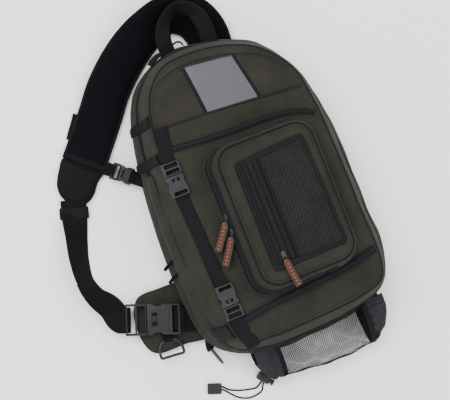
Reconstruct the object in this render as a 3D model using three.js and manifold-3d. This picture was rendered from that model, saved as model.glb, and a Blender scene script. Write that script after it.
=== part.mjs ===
import * as THREE from 'three';
import { mergeVertices } from 'three/addons/utils/BufferGeometryUtils.js';
import Module from 'manifold-3d';

// Fishing tackle sling bag, lying on its back with the strap spread to its left.
// Millimetres, +Z out of the bag's front, +Y towards its carrying handle, +X to its right.
// The bag's own middle is the origin while it is drawn, and the finished group is moved
// so that the origin is at the bottom centre of the box around everything but the free cord.

const wasm = await Module();
wasm.setup();

// Driving sizes of the bag's body
const bagLength = 464;
const bagWidth = 310;
const bagDepth = 104;
const rearDepth = 50;
const rearZipWidth = 6;
const wall = 2.5;
const backPadding = 10;
const widestHeight = 30;
const gap = 0.3;

// Front panel
const zipWidth = 11;
const zipThickness = 2;
const flapThickness = 2;
const patchThickness = 1;
const edgeBand = 1.6;
const gussetBandWidth = 13;
const cornerBandWidth = 20;

// Raised front pocket with its framed mesh window
const pocketWidth = 168;
const pocketLength = 218;
const pocketDepth = 34;
const pocketCorner = 30;
const pocketTaper = 20;
const pocketZipWidth = 10;
const frameThickness = 1.6;
const meshThickness = 1.2;

// Zip sliders and their ribbon pulls
const sliderLength = 9;
const sliderWidth = 7;
const sliderHeight = 3.6;
const pullWidth = 10.5;
const pullLength = 42;
const pullThickness = 1.6;

// Webbing and straps
const narrowWebbing = 20;
const wideWebbing = 38;
const handleWidth = 24;
const webbingThickness = 2;
const strapWidth = 64;
const strapThickness = 9;
const tipLength = 60;
const wingThickness = 12.5;
const floorGap = 0.4;

// Side release buckles: overall sizes of the small and the large one
const smallBuckle = { length: 50, width: 26, height: 8.5 };
const chestBuckle = { length: 33, width: 25, height: 8.5 };
const largeBuckle = { length: 80, width: 46, height: 11 };
const buckleShell = 1.8;
const buckleSplit = 0.12;
const buckleSocket = 0.3;
const buckleSlot = 0.1;

// Fittings
const loopWidth = 38;
const loopHeight = 29;
const loopBar = 4.5;
const ringRadius = 10.5;
const ringWire = 1.7;
const ringStretch = 1.3;

// Net pouch under the bag
const pouchLength = 213;
const pouchReach = 54;
const pouchDepth = 40;
const netThickness = 1.4;
const netColumns = 12;
const netRows = 4;
const netHole = 7;

// Drawcord with its lock and end piece
const cordDiameter = 2.5;
const lockLength = 20;
const lockWidth = 12.5;
const lockHeight = 12;
const plungerRadius = 3.4;
const plungerHead = 4.8;
const plungerHeadLength = 3;
const plungerTravel = 3;
const plungerClearance = 0.4;
const cordEndLength = 21;
const cordEndWidth = 16;
const cordEndHeight = 5;

const halfWidth = bagWidth / 2;
const halfLength = bagLength / 2;
const radians = THREE.MathUtils.degToRad;

// Materials
const cloth = (color, roughness) => new THREE.MeshStandardMaterial({ color, roughness, metalness: 0 });
const olive = cloth(0x403f34, 0.92);
const zipTape = cloth(0x2d2d34, 0.7);
const webbing = cloth(0x242428, 0.85);
const strapCloth = cloth(0x0c0f14, 0.95);
const netCloth = cloth(0x1a1a1e, 0.8);
const reflective = cloth(0x7a7a86, 0.45);
const plastic = cloth(0x343438, 0.5);
const ribbonCloth = cloth(0xb5532c, 0.85);
const metal = new THREE.MeshStandardMaterial({ color: 0x3c3d42, roughness: 0.35, metalness: 0.9 });

const bag = new THREE.Group();
const freeCord = new Set();

function addPiece(name, geometry, material) {
  const mesh = new THREE.Mesh(geometry, material);
  mesh.name = name;
  bag.add(mesh);
  return mesh;
}

// Solids and booleans
function toSolid(geometry) {
  const bare = geometry.clone();
  bare.deleteAttribute('normal');
  bare.deleteAttribute('uv');
  const merged = mergeVertices(bare, 1e-4);
  const vertProperties = new Float32Array(merged.attributes.position.array);
  const triVerts = new Uint32Array(merged.index.array);
  return new wasm.Manifold(new wasm.Mesh({ numProp: 3, vertProperties, triVerts }));
}

function toGeometry(solid) {
  const mesh = solid.getMesh();
  const geometry = new THREE.BufferGeometry();
  geometry.setAttribute('position', new THREE.BufferAttribute(new Float32Array(mesh.vertProperties), 3));
  geometry.setIndex(new THREE.BufferAttribute(new Uint32Array(mesh.triVerts), 1));
  geometry.computeVertexNormals();
  return geometry;
}

const cut = (geometry, ...tools) => toGeometry(tools.reduce((s, t) => s.subtract(toSolid(t)), toSolid(geometry)));
const join = (geometry, ...others) => toGeometry(others.reduce((s, t) => s.add(toSolid(t)), toSolid(geometry)));
const common = (geometry, other) => toGeometry(toSolid(geometry).intersect(toSolid(other)));

// A closed solid through rings of points, with a fan at each end
function loft(rings) {
  const count = rings[0].length;
  const points = rings.flat();
  const index = [];
  for (let r = 0; r + 1 < rings.length; r++) {
    for (let i = 0; i < count; i++) {
      const a = r * count + i;
      const b = r * count + (i + 1) % count;
      index.push(a, b, b + count, a, b + count, a + count);
    }
  }
  for (const [ring, first] of [[rings[0], 0], [rings.at(-1), (rings.length - 1) * count]]) {
    const centre = ring.reduce((sum, p) => sum.add(p), new THREE.Vector3()).divideScalar(count);
    points.push(centre);
    for (let i = 0; i < count; i++) {
      const next = first + (i + 1) % count;
      if (first === 0) index.push(points.length - 1, next, i);
      else index.push(points.length - 1, first + i, next);
    }
  }
  const geometry = new THREE.BufferGeometry().setFromPoints(points);
  geometry.setIndex(signedVolume(points, index) < 0 ? index.reverse() : index);
  geometry.computeVertexNormals();
  return geometry;
}

function signedVolume(points, index) {
  let volume = 0;
  for (let i = 0; i < index.length; i += 3) {
    const [a, b, c] = [points[index[i]], points[index[i + 1]], points[index[i + 2]]];
    volume += a.dot(new THREE.Vector3().crossVectors(b, c)) / 6;
  }
  return volume;
}

function block(x, y, z, sizeX, sizeY, sizeZ) {
  return new THREE.BoxGeometry(sizeX, sizeY, sizeZ).translate(x, y, z);
}

// A flat plate of any outline, from height low to height high
function plate(points, low, high, holes = []) {
  const shape = new THREE.Shape(points);
  shape.holes = holes.map((hole) => new THREE.Path(hole));
  const geometry = new THREE.ExtrudeGeometry(shape, { depth: high - low, bevelEnabled: false });
  return geometry.translate(0, 0, low);
}

// Webbing: a band of flat section along rows of across, along, height and roll.
// Roll raises the band's outer edge, and across and along are shares of the half bag.
function bandRings(rows, width, thickness, steps) {
  const places = rows.map((row) => new THREE.Vector3(row.across * halfWidth, row.along * halfLength, row.height));
  const curve = new THREE.CatmullRomCurve3(places, false, 'centripetal');
  const rings = [];
  for (let k = 0; k <= steps; k++) {
    const t = k / steps;
    const spot = t * (rows.length - 1);
    const low = Math.min(Math.floor(spot), rows.length - 2);
    const roll = radians(THREE.MathUtils.lerp(rows[low].roll, rows[low + 1].roll, spot - low));
    const centre = curve.getPoint(t);
    const tangent = curve.getTangent(t);
    const side = new THREE.Vector3().crossVectors(tangent, new THREE.Vector3(0, 0, 1)).normalize();
    const up = new THREE.Vector3().crossVectors(side, tangent);
    const across = side.clone().multiplyScalar(Math.cos(roll)).addScaledVector(up, Math.sin(roll));
    const through = up.clone().multiplyScalar(Math.cos(roll)).addScaledVector(side, -Math.sin(roll));
    const corner = (u, v) => centre.clone().addScaledVector(across, u * width / 2)
      .addScaledVector(through, v * thickness / 2);
    rings.push([corner(-1, -1), corner(1, -1), corner(1, 1), corner(-1, 1)]);
  }
  return rings;
}

const band = (rows, width, thickness, steps) => loft(bandRings(rows, width, thickness, steps));

// Height of a rolled band's middle when its lower edge is just off the surface
const lying = (width, thickness, roll, lift) =>
  Math.sin(radians(roll)) * width / 2 + Math.cos(radians(roll)) * thickness / 2 + floorGap + lift;

// Body outline: a row for each corner, as shares of the half width and half length,
// at the widest height (rear) and at the front panel (front)
const outlineRows = [
  { rearX: 0.0, rearY: -1.0, frontX: 0.0, frontY: -0.885 },
  { rearX: 0.52, rearY: -0.97, frontX: 0.5, frontY: -0.865 },
  { rearX: 0.86, rearY: -0.88, frontX: 0.74, frontY: -0.82 },
  { rearX: 0.99, rearY: -0.71, frontX: 0.81, frontY: -0.72 },
  { rearX: 1.0, rearY: -0.34, frontX: 0.81, frontY: -0.3 },
  { rearX: 0.99, rearY: 0.09, frontX: 0.8, frontY: 0.09 },
  { rearX: 0.94, rearY: 0.41, frontX: 0.77, frontY: 0.41 },
  { rearX: 0.83, rearY: 0.64, frontX: 0.71, frontY: 0.6 },
  { rearX: 0.57, rearY: 0.86, frontX: 0.48, frontY: 0.79 },
  { rearX: 0.23, rearY: 0.96, frontX: 0.19, frontY: 0.88 },
  { rearX: -0.14, rearY: 1.0, frontX: -0.16, frontY: 0.91 },
  { rearX: -0.48, rearY: 0.95, frontX: -0.45, frontY: 0.885 },
  { rearX: -0.74, rearY: 0.79, frontX: -0.65, frontY: 0.75 },
  { rearX: -0.86, rearY: 0.56, frontX: -0.74, frontY: 0.54 },
  { rearX: -0.93, rearY: 0.29, frontX: -0.76, frontY: 0.31 },
  { rearX: -0.98, rearY: -0.04, frontX: -0.75, frontY: -0.08 },
  { rearX: -0.99, rearY: -0.45, frontX: -0.735, frontY: -0.47 },
  { rearX: -0.96, rearY: -0.69, frontX: -0.72, frontY: -0.74 },
  { rearX: -0.82, rearY: -0.87, frontX: -0.65, frontY: -0.86 },
  { rearX: -0.46, rearY: -0.98, frontX: -0.4, frontY: -0.885 },
];
const outlineSteps = 44;

function bodyRing(height, inset) {
  const level = THREE.MathUtils.clamp((height - widestHeight) / (bagDepth - widestHeight), 0, 1);
  const corners = outlineRows.map((row) => new THREE.Vector3(
    THREE.MathUtils.lerp(row.rearX, row.frontX, level) * halfWidth,
    THREE.MathUtils.lerp(row.rearY, row.frontY, level) * halfLength,
    height,
  ));
  const curve = new THREE.CatmullRomCurve3(corners, true, 'centripetal');
  const ring = [];
  for (let i = 0; i < outlineSteps; i++) {
    const point = curve.getPoint(i / outlineSteps);
    const tangent = curve.getTangent(i / outlineSteps);
    ring.push(new THREE.Vector3(point.x - tangent.y * inset, point.y + tangent.x * inset, height));
  }
  return ring;
}

// Sections of the closed body: a row for each height, with how far the cloth is drawn in
const rearSections = [
  { height: 0, inset: 12 },
  { height: 5, inset: 3 },
  { height: 14, inset: 0.5 },
  { height: widestHeight, inset: 0 },
  { height: rearDepth, inset: 0 },
];
const frontBase = rearDepth + rearZipWidth + 2 * gap;
const frontSections = [
  { height: frontBase, inset: 1 },
  { height: frontBase + 6, inset: 0 },
  { height: bagDepth - 7, inset: 0 },
  { height: bagDepth - 2, inset: 1.5 },
  { height: bagDepth, inset: 5 },
];

const bodyLoft = (sections, extra) => loft(sections.map((s) => bodyRing(s.height, s.inset + extra)));
const wholeBody = (grow) => loft([...rearSections, ...frontSections].map(
  (s) => bodyRing(s.height + (s.height === 0 ? -grow : 0) + (s.height === bagDepth ? grow : 0), s.inset - grow),
));
const bodyClearance = wholeBody(gap);
const clearOfBody = (geometry) => cut(geometry, bodyClearance);

// Rear compartment: a padded back and a gusset, open where the zip joins it to the front
const rearInner = loft([
  bodyRing(backPadding, wall + 4),
  bodyRing(backPadding + 8, wall),
  bodyRing(widestHeight, wall),
  bodyRing(rearDepth + gap, wall),
]);
addPiece('rear_compartment', cut(bodyLoft(rearSections, 0), rearInner), olive);

// Rear zip: a ring of tape between the two compartments, set a little in
const zipInset = 1.5;
const rearZipLow = rearDepth + gap;
const rearZipHigh = rearZipLow + rearZipWidth;
const rearZipRing = loft([bodyRing(rearZipLow, zipInset), bodyRing(rearZipHigh, zipInset)]);
const rearZipHole = loft([
  bodyRing(rearZipLow - 1, zipInset + wall),
  bodyRing(rearZipHigh + 1, zipInset + wall),
]);
addPiece('rear_zip', cut(rearZipRing, rearZipHole), zipTape);

// Front panel zips: rows of across and along at the middle of each zip
const upperZipRows = [
  { across: -0.66, along: 0.4, height: 0, roll: 0 },
  { across: -0.4, along: 0.385, height: 0, roll: 0 },
  { across: -0.14, along: 0.373, height: 0, roll: 0 },
  { across: 0.26, along: 0.371, height: 0, roll: 0 },
  { across: 0.5, along: 0.355, height: 0, roll: 0 },
  { across: 0.67, along: 0.31, height: 0, roll: 0 },
];
const lowerZipRows = [
  { across: -0.64, along: -0.724, height: 0, roll: 0 },
  { across: -0.39, along: -0.703, height: 0, roll: 0 },
  { across: 0.0, along: -0.681, height: 0, roll: 0 },
  { across: 0.26, along: -0.67, height: 0, roll: 0 },
  { across: 0.5, along: -0.655, height: 0, roll: 0 },
  { across: 0.7, along: -0.63, height: 0, roll: 0 },
];
const atHeight = (rows, height) => rows.map((row) => ({ ...row, height }));
const zipSteps = 14;
const zipMiddle = bagDepth - wall / 2;

function longer(rows, share) {
  const [first, last] = [rows[0], rows.at(-1)];
  return [{ ...first, across: first.across - share }, ...rows.slice(1, -1), { ...last, across: last.across + share }];
}
const slot = (rows) => band(
  atHeight(longer(rows, gap / halfWidth), zipMiddle), zipWidth + 2 * gap, 4 * wall, zipSteps,
);
// Front compartment: a tray of gusset and divider, and the front panel with its two zip slots
const gussetTop = bagDepth - wall - gap;
const traySections = [...frontSections.slice(0, 3), { height: gussetTop, inset: 1.2 }];
const frontInner = loft([
  bodyRing(frontBase + wall, wall + 1),
  bodyRing(frontBase + 6, wall),
  bodyRing(bagDepth - 7, wall),
  bodyRing(gussetTop + gap, wall + 1.2),
]);
addPiece('front_compartment', cut(bodyLoft(traySections, 0), frontInner), olive);
const panelSections = [{ height: bagDepth - wall, inset: 1.35 }, ...frontSections.slice(3)];
addPiece('front_panel', cut(bodyLoft(panelSections, 0), slot(upperZipRows), slot(lowerZipRows)), olive);
for (const [name, rows] of [['upper_zip', upperZipRows], ['lower_zip', lowerZipRows]]) {
  addPiece(name, band(atHeight(rows, zipMiddle), zipWidth, zipThickness, zipSteps), zipTape);
}

// Olive flap above the upper zip, and the reflective patch above it
const toPoint = (across, along) => new THREE.Vector2(across * halfWidth, along * halfLength);
const atShares = (row) => toPoint(row.across, row.along);
const panelTop = bagDepth + gap;
const flapMargin = zipWidth / 2 + 1.5;
const flapLower = upperZipRows.slice(1).map(
  (row) => toPoint(row.across, row.along).add(new THREE.Vector2(0, flapMargin)),
);
const flapStart = toPoint(-0.585, 0.397).add(new THREE.Vector2(0, flapMargin));
const flapUpper = [
  { across: 0.67, along: 0.474 },
  { across: 0.26, along: 0.496 },
  { across: -0.22, along: 0.517 },
  { across: -0.585, along: 0.525 },
].map(atShares);
addPiece('zip_flap', plate([flapStart, ...flapLower, ...flapUpper], panelTop, panelTop + flapThickness), olive);

const patchCorners = [
  { across: -0.21, along: 0.53 },
  { across: 0.28, along: 0.508 },
  { across: 0.19, along: 0.81 },
  { across: -0.26, along: 0.84 },
].map(atShares);
addPiece(
  'reflective_patch',
  plate(patchCorners, panelTop, panelTop + patchThickness),
  reflective,
);

// Dark bands across the left gusset: each a strip of cloth lying on the body
const bandSkin = cut(wholeBody(gap + edgeBand), bodyClearance);
const gussetBands = [
  { name: 'gusset_band_upper', along: 0.6, width: gussetBandWidth, low: 22 },
  { name: 'gusset_band_lower', along: 0.37, width: gussetBandWidth, low: 22 },
  { name: 'gusset_band_corner', along: -0.755, width: cornerBandWidth, low: frontBase + 1 },
];
for (const { name, along, width, low } of gussetBands) {
  const high = bagDepth - 6;
  const reach = block(
    -halfWidth - halfWidth / 3, along * halfLength, (low + high) / 2, halfWidth * 1.2, width, high - low,
  );
  addPiece(name, common(bandSkin, reach), zipTape);
}

// Raised front pocket: a tray turned over on the front panel
const pocketCentre = toPoint(0.06, -0.175);
const pocketSteps = 9;

function pocketRing(height, inset) {
  const rise = THREE.MathUtils.clamp((height - panelTop) / pocketDepth, 0, 1);
  const left = -pocketWidth / 2 + pocketTaper * rise + inset;
  const right = pocketWidth / 2 - 1 * rise - inset;
  const low = -pocketLength / 2 + 8 * rise + inset;
  const high = pocketLength / 2 - inset;
  const radius = Math.max(pocketCorner - inset, 4);
  const ring = [];
  const corners = [
    [right - radius, high - radius, 0],
    [left + radius, high - radius, 90],
    [left + radius, low + radius, 180],
    [right - radius, low + radius, 270],
  ];
  for (const [x, y, start] of corners) {
    for (let i = 0; i < pocketSteps; i++) {
      const angle = radians(start + 90 * i / (pocketSteps - 1));
      ring.push(new THREE.Vector3(
        pocketCentre.x + x + radius * Math.cos(angle),
        pocketCentre.y + y + radius * Math.sin(angle),
        height,
      ));
    }
  }
  return ring;
}
const pocketTop = panelTop + pocketDepth;
const pocketWallTop = pocketTop - wall - gap;
const pocketWall = loft([
  pocketRing(panelTop, 0),
  pocketRing(pocketTop - 6, 0),
  pocketRing(pocketWallTop, 1),
]);
const pocketHollow = loft([
  pocketRing(panelTop - gap, wall),
  pocketRing(pocketTop - 6, wall),
  pocketRing(pocketWallTop + gap, wall + 1),
]);
const pocketFace = loft([
  pocketRing(pocketTop - wall, 1.2),
  pocketRing(pocketTop - 1, 2.5),
  pocketRing(pocketTop, 5),
]);

// Its zip runs down the left wall and round the lower left corner
const pocketZipLow = panelTop + pocketDepth * 0.42;
const pocketZipEnd = pocketCentre.x + pocketWidth * 0.1;
const zipFirst = pocketSteps + 2;
const zipLast = 3 * pocketSteps;
function pocketZipStrip(out, into, margin) {
  const lower = pocketRing(pocketZipLow - margin, -out);
  const upper = pocketRing(pocketZipLow + pocketZipWidth + margin, -out);
  const upperIn = pocketRing(pocketZipLow + pocketZipWidth + margin, into);
  const lowerIn = pocketRing(pocketZipLow - margin, into);
  const rings = [];
  for (let i = zipFirst; i <= zipLast; i++) {
    rings.push([lower[i], upper[i], upperIn[i], lowerIn[i]].map((p) => p.clone()));
  }
  const before = rings[0][0].clone().sub(rings[1][0]).normalize().multiplyScalar(margin);
  rings[0].forEach((p) => p.add(before));
  const reach = block(
    pocketZipEnd + margin - pocketWidth, pocketCentre.y, pocketZipLow, pocketWidth * 2, pocketLength * 2, bagDepth,
  );
  return common(loft(rings), reach);
}

// Window frame corners, as shares of the half bag, and the window and zip cut in it
const frameCorners = [
  { across: -0.21, along: -0.52 },
  { across: 0.525, along: -0.51 },
  { across: 0.49, along: 0.21 },
  { across: -0.205, along: 0.178 },
].map(atShares);
const windowCorners = [
  { across: 0.05, along: -0.48 },
  { across: 0.485, along: -0.485 },
  { across: 0.452, along: 0.17 },
  { across: 0.035, along: 0.16 },
].map(atShares);
const zipPanel = [
  { across: -0.17, along: -0.475 },
  { across: 0.01, along: -0.455 },
  { across: -0.005, along: 0.15 },
  { across: -0.17, along: 0.145 },
].map(atShares);
const frameLow = pocketTop + gap;

function shrunk(points, distance) {
  const middle = points.reduce((sum, p) => sum.add(p), new THREE.Vector2()).divideScalar(points.length);
  return points.map((p) => {
    const away = p.clone().sub(middle);
    return p.clone().sub(new THREE.Vector2(Math.sign(away.x), Math.sign(away.y)).multiplyScalar(distance));
  });
}
const windowCut = plate(windowCorners, pocketTop - 4 * wall, pocketTop + wall);
addPiece('pocket_shell', cut(pocketWall, pocketHollow, pocketZipStrip(3, wall + 3, gap)), olive);
addPiece('pocket_face', cut(pocketFace, windowCut), olive);
addPiece('pocket_zip', pocketZipStrip(-gap, wall, 0), zipTape);
addPiece('pocket_frame', plate(frameCorners, frameLow, frameLow + frameThickness, [windowCorners, zipPanel]), webbing);
addPiece(
  'pocket_mesh',
  plate(shrunk(windowCorners, gap), pocketTop - wall + gap, pocketTop - wall + gap + meshThickness),
  netCloth,
);
addPiece('window_zip', plate(shrunk(zipPanel, gap), frameLow, frameLow + frameThickness + 1), zipTape);

// Zip sliders and the ribbon pulls on them
const sliderSpots = [
  { name: 'upper', along: -0.095 },
  { name: 'lower', along: -0.19 },
];
const pullLean = -0.155;
const pullFall = 9;
const pullOutset = 2.6;
const pullDrop = 0.004;
const wallAngle = Math.atan2(pocketDepth, pocketTaper);
const zipHeight = pocketZipLow + pocketZipWidth / 2;
const pocketLeft = Math.min(...pocketRing(zipHeight, 0).map((p) => p.x));
const sliderStand = sliderHeight / 2 + gap;
const sliderX = pocketLeft - Math.sin(wallAngle) * sliderStand;
const sliderZ = zipHeight + Math.cos(wallAngle) * sliderStand;
for (const { name, along } of sliderSpots) {
  const slider = new THREE.BoxGeometry(sliderHeight, sliderLength, sliderWidth);
  const piece = addPiece(`slider_${name}`, slider.rotateY(Math.PI / 2 - wallAngle), metal);
  piece.position.set(sliderX, along * halfLength, sliderZ);
  const start = along - (sliderLength / 2 + gap) / halfLength - pullDrop;
  const span = pullLength / halfLength;
  const begin = (sliderX - pullOutset) / halfWidth;
  addPiece(`pull_${name}`, band([
    { across: begin, along: start, height: sliderZ, roll: -30 },
    { across: begin + pullLean * 0.45, along: start - span * 0.36, height: sliderZ - pullFall * 0.7, roll: -14 },
    { across: begin + pullLean, along: start - span * 0.78, height: sliderZ - pullFall, roll: 0 },
  ], pullWidth, pullThickness, 6), ribbonCloth);
}
const windowSliderAlong = -0.43;
const windowSliderAcross = -0.085;
const windowZipTop = frameLow + frameThickness + 1 + gap;
const windowSlider = addPiece(
  'slider_window', new THREE.BoxGeometry(sliderWidth, sliderLength, sliderHeight), metal,
);
windowSlider.position.set(
  windowSliderAcross * halfWidth, windowSliderAlong * halfLength, windowZipTop + sliderHeight / 2,
);
const windowPullStart = windowSliderAlong - (sliderLength / 2 + gap) / halfLength;
addPiece('pull_window', band([
  { across: windowSliderAcross, along: windowPullStart, height: windowZipTop + 2.5, roll: 0 },
  { across: -0.075, along: windowPullStart - 0.1, height: windowZipTop + 2, roll: 0 },
  { across: -0.055, along: windowPullStart - pullLength / halfLength, height: windowZipTop - 1, roll: 0 },
], pullWidth, pullThickness, 8), ribbonCloth);

// Side release buckle, drawn along X with the prong half to the left
function buckleHalves({ length, width, height }) {
  const split = -length * buckleSplit;
  const slotLength = length * buckleSlot;
  const inside = width - 4 * buckleShell;
  const socketEnd = length * buckleSocket;
  const femaleLength = length / 2 - split;
  let female = block(split + femaleLength / 2, 0, 0, femaleLength, width, height);
  const barSlot = block(length / 2 - buckleShell - slotLength / 2, 0, 0, slotLength, inside + buckleShell, height * 2);
  const socket = block((split + socketEnd) / 2 - 1, 0, 0, socketEnd - split + 2, inside, height - 2 * buckleShell);
  const notches = [-1, 1].map((side) => {
    const notch = new THREE.CylinderGeometry(width * 0.2, width * 0.2, height * 2, 14);
    return notch.rotateX(Math.PI / 2).translate(length * 0.08, side * (width / 2 + width * 0.06), 0);
  });
  female = cut(female, barSlot, socket, ...notches);
  const maleEnd = split - gap;
  const maleLength = maleEnd + length / 2;
  const frame = block(-length / 2 + maleLength / 2, 0, 0, maleLength, width, height * 0.8);
  const slotHeight = (maleLength - 3 * buckleShell) / 2;
  const slots = [0, 1].map((i) => block(
    -length / 2 + buckleShell + slotHeight / 2 + i * (slotHeight + buckleShell), 0, 0,
    slotHeight, inside + buckleShell, height * 2,
  ));
  const tongueReach = socketEnd - maleEnd - 2;
  const tongue = block(
    maleEnd + tongueReach / 2 - 0.5, 0, 0, tongueReach + 1, inside - 2 * gap - 1, height - 2 * buckleShell - 2 * gap - 1,
  );
  return { female, male: join(cut(frame, ...slots), tongue) };
}

function placeBuckle(name, size, x, y, z, angle) {
  const { female, male } = buckleHalves(size);
  for (const [half, geometry] of [['female', female], ['male', male]]) {
    const piece = addPiece(`${name}_${half}`, geometry, plastic);
    piece.position.set(x, y, z);
    piece.rotation.z = radians(angle);
  }
}

// Compression strap: sewn at its top, two buckles, down to the bag's lower edge
const webHeight = bagDepth + gap + webbingThickness / 2;
const smallZ = bagDepth + gap + smallBuckle.height / 2;
const upperBuckleSpot = { across: -0.71, along: 0.22 };
const lowerBuckleSpot = { across: -0.66, along: -0.582 };
const buckleHalfShare = (smallBuckle.length / 2 + gap) / halfLength;
placeBuckle(
  'upper_buckle', smallBuckle, upperBuckleSpot.across * halfWidth, upperBuckleSpot.along * halfLength, smallZ, -90,
);
placeBuckle(
  'lower_buckle', smallBuckle, lowerBuckleSpot.across * halfWidth, lowerBuckleSpot.along * halfLength, smallZ, 90,
);
const flatRow = (across, along) => ({ across, along, height: webHeight, roll: 0 });
const straight = 0.014;
const atBuckle = (spot, side) => [0, straight].map(
  (extra) => flatRow(spot.across, spot.along + side * (buckleHalfShare + extra)),
);
addPiece('compression_web_upper', band([
  flatRow(-0.665, 0.53),
  flatRow(-0.69, 0.42),
  ...atBuckle(upperBuckleSpot, 1).reverse(),
], narrowWebbing, webbingThickness, 8), webbing);
addPiece('compression_web_middle', band([
  ...atBuckle(upperBuckleSpot, -1),
  flatRow(-0.69, -0.15),
  ...atBuckle(lowerBuckleSpot, 1).reverse(),
], narrowWebbing, webbingThickness, 12), webbing);
addPiece('compression_web_lower', band([
  ...atBuckle(lowerBuckleSpot, -1),
  flatRow(-0.6, -0.87),
], narrowWebbing, webbingThickness, 5), webbing);

// Carrying handle: a loop of webbing standing out of the bag's top
addPiece('grab_handle', clearOfBody(band([
  { across: -0.27, along: 0.965, height: 0.365 * bagDepth, roll: 0 },
  { across: -0.27, along: 1.08, height: 0.433 * bagDepth, roll: -10 },
  { across: -0.2, along: 1.18, height: 0.481 * bagDepth, roll: -45 },
  { across: -0.06, along: 1.235, height: 0.510 * bagDepth, roll: -65 },
  { across: 0.08, along: 1.18, height: 0.490 * bagDepth, roll: -45 },
  { across: 0.14, along: 1.07, height: 0.452 * bagDepth, roll: -10 },
  { across: 0.14, along: 0.95, height: 0.385 * bagDepth, roll: 0 },
], handleWidth, webbingThickness + 1, 26)), webbing);

// Padded shoulder strap from under the bag's top, round to the left
const strapRoute = [
  { across: 0.18, along: 0.93, lift: 3, roll: 0 },
  { across: 0.175, along: 1.05, lift: 4, roll: 8 },
  { across: 0.085, along: 1.165, lift: 2, roll: 26 },
  { across: -0.115, along: 1.228, lift: 0, roll: 40 },
  { across: -0.375, along: 1.18, lift: 0, roll: 28 },
  { across: -0.625, along: 1.083, lift: 0, roll: 16 },
  { across: -0.885, along: 0.93, lift: 0, roll: 8 },
  { across: -1.065, along: 0.78, lift: 0, roll: 4 },
  { across: -1.225, along: 0.65, lift: 0, roll: 0 },
  { across: -1.375, along: 0.534, lift: 0, roll: 0 },
];
const strapRows = strapRoute.map((row) => ({
  ...row, height: lying(strapWidth, strapThickness, row.roll, row.lift),
}));
const strapSteps = 30;
addPiece('shoulder_strap', clearOfBody(band(strapRows, strapWidth, strapThickness, strapSteps)), strapCloth);

// Thinner pad sewn on below the strap's hem, drawn from the hem's middle
const hemMiddle = atShares(strapRows.at(-1));
const hemDirection = hemMiddle.clone().sub(atShares(strapRows.at(-2))).normalize();
const hemSide = new THREE.Vector2(hemDirection.y, -hemDirection.x);
const fromHem = (side, down) => hemMiddle.clone().addScaledVector(hemSide, side).addScaledVector(hemDirection, down);
const tipRows = [
  { side: -0.49, down: 0 },
  { side: 0.48, down: 0 },
  { side: 0.48, down: 0.35 },
  { side: 0.4, down: 0.71 },
  { side: 0.23, down: 0.92 },
  { side: 0.0, down: 1 },
  { side: -0.24, down: 0.96 },
  { side: -0.4, down: 0.82 },
  { side: -0.46, down: 0.6 },
  { side: -0.45, down: 0.3 },
];
const tipThickness = strapThickness - 1;
function tipPlate(grow) {
  const outline = tipRows.map(
    (row) => fromHem(row.side * (strapWidth + 2 * grow), gap + 0.4 - grow + row.down * (tipLength + 2 * grow)),
  );
  return plate(outline, floorGap - grow, floorGap + tipThickness + grow);
}
addPiece('strap_tip', tipPlate(0), strapCloth);
const tipClearance = tipPlate(gap);

// Wide webbing from the strap's tip, through a keeper band and a twist, to the large buckle
const buckleSpot = { across: -1.31, along: -0.534 };
const buckleTurn = -20;
const largeZ = floorGap + wingThickness + gap + largeBuckle.height / 2;
const buckleCentre = atShares(buckleSpot);
const buckleAxis = new THREE.Vector2(Math.cos(radians(buckleTurn)), Math.sin(radians(buckleTurn)));
const buckleEnd = (side) => buckleCentre.clone().addScaledVector(buckleAxis, side * (largeBuckle.length / 2 + gap));
const asShare = (point) => ({ across: point.x / halfWidth, along: point.y / halfLength });
const tipEnd = fromHem(-0.05 * strapWidth, tipLength - 5);
const leadIn = 7;
const webLift = largeZ - webbingThickness / 2 - floorGap;
const webRoute = [
  { ...asShare(tipEnd), lift: 3, roll: 0 },
  { across: -1.625, along: 0.27, lift: 3, roll: 5 },
  { across: -1.69, along: 0.12, lift: 0, roll: 30 },
  { across: -1.745, along: -0.02, lift: 0, roll: 40 },
  { across: -1.765, along: -0.16, lift: 0, roll: 48 },
  { across: -1.725, along: -0.27, lift: 3, roll: 40 },
  { across: -1.64, along: -0.365, lift: 9, roll: 18 },
  { ...asShare(buckleEnd(-1).addScaledVector(buckleAxis, -leadIn)), lift: webLift, roll: 0 },
  { ...asShare(buckleEnd(-1)), lift: webLift, roll: 0 },
];
const webRows = webRoute.map((row) => ({
  ...row, height: lying(wideWebbing, webbingThickness, row.roll, row.lift),
}));
const webSteps = 32;
const hipClearance = block(
  0, 0, 0, largeBuckle.length + 2 * gap, largeBuckle.width + 2 * gap, largeBuckle.height + 2 * gap,
).rotateZ(radians(buckleTurn)).translate(buckleCentre.x, buckleCentre.y, largeZ);
addPiece('strap_webbing', cut(
  band(webRows, wideWebbing, webbingThickness, webSteps), tipClearance, hipClearance,
), webbing);

const keeperFrom = atShares(webRows[0]);
const keeperTo = atShares(webRows[1]);
const keeperWay = keeperTo.clone().sub(keeperFrom).normalize();
const keeperLength = 17;
const keeperStart = keeperFrom.clone().addScaledVector(keeperWay, 11);
const keeperStop = keeperStart.clone().addScaledVector(keeperWay, keeperLength);
const keeperHeight = webRows[0].height + 0.6;
const keeperRows = [keeperStart, keeperStop].map((p) => ({ ...asShare(p), height: keeperHeight, roll: 3 }));
addPiece('keeper_band', cut(
  band(keeperRows, wideWebbing + 5, webbingThickness + 3, 4),
  band(webRows, wideWebbing + 2 * gap, webbingThickness + 2 * gap, webSteps),
  tipClearance,
), webbing);

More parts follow.
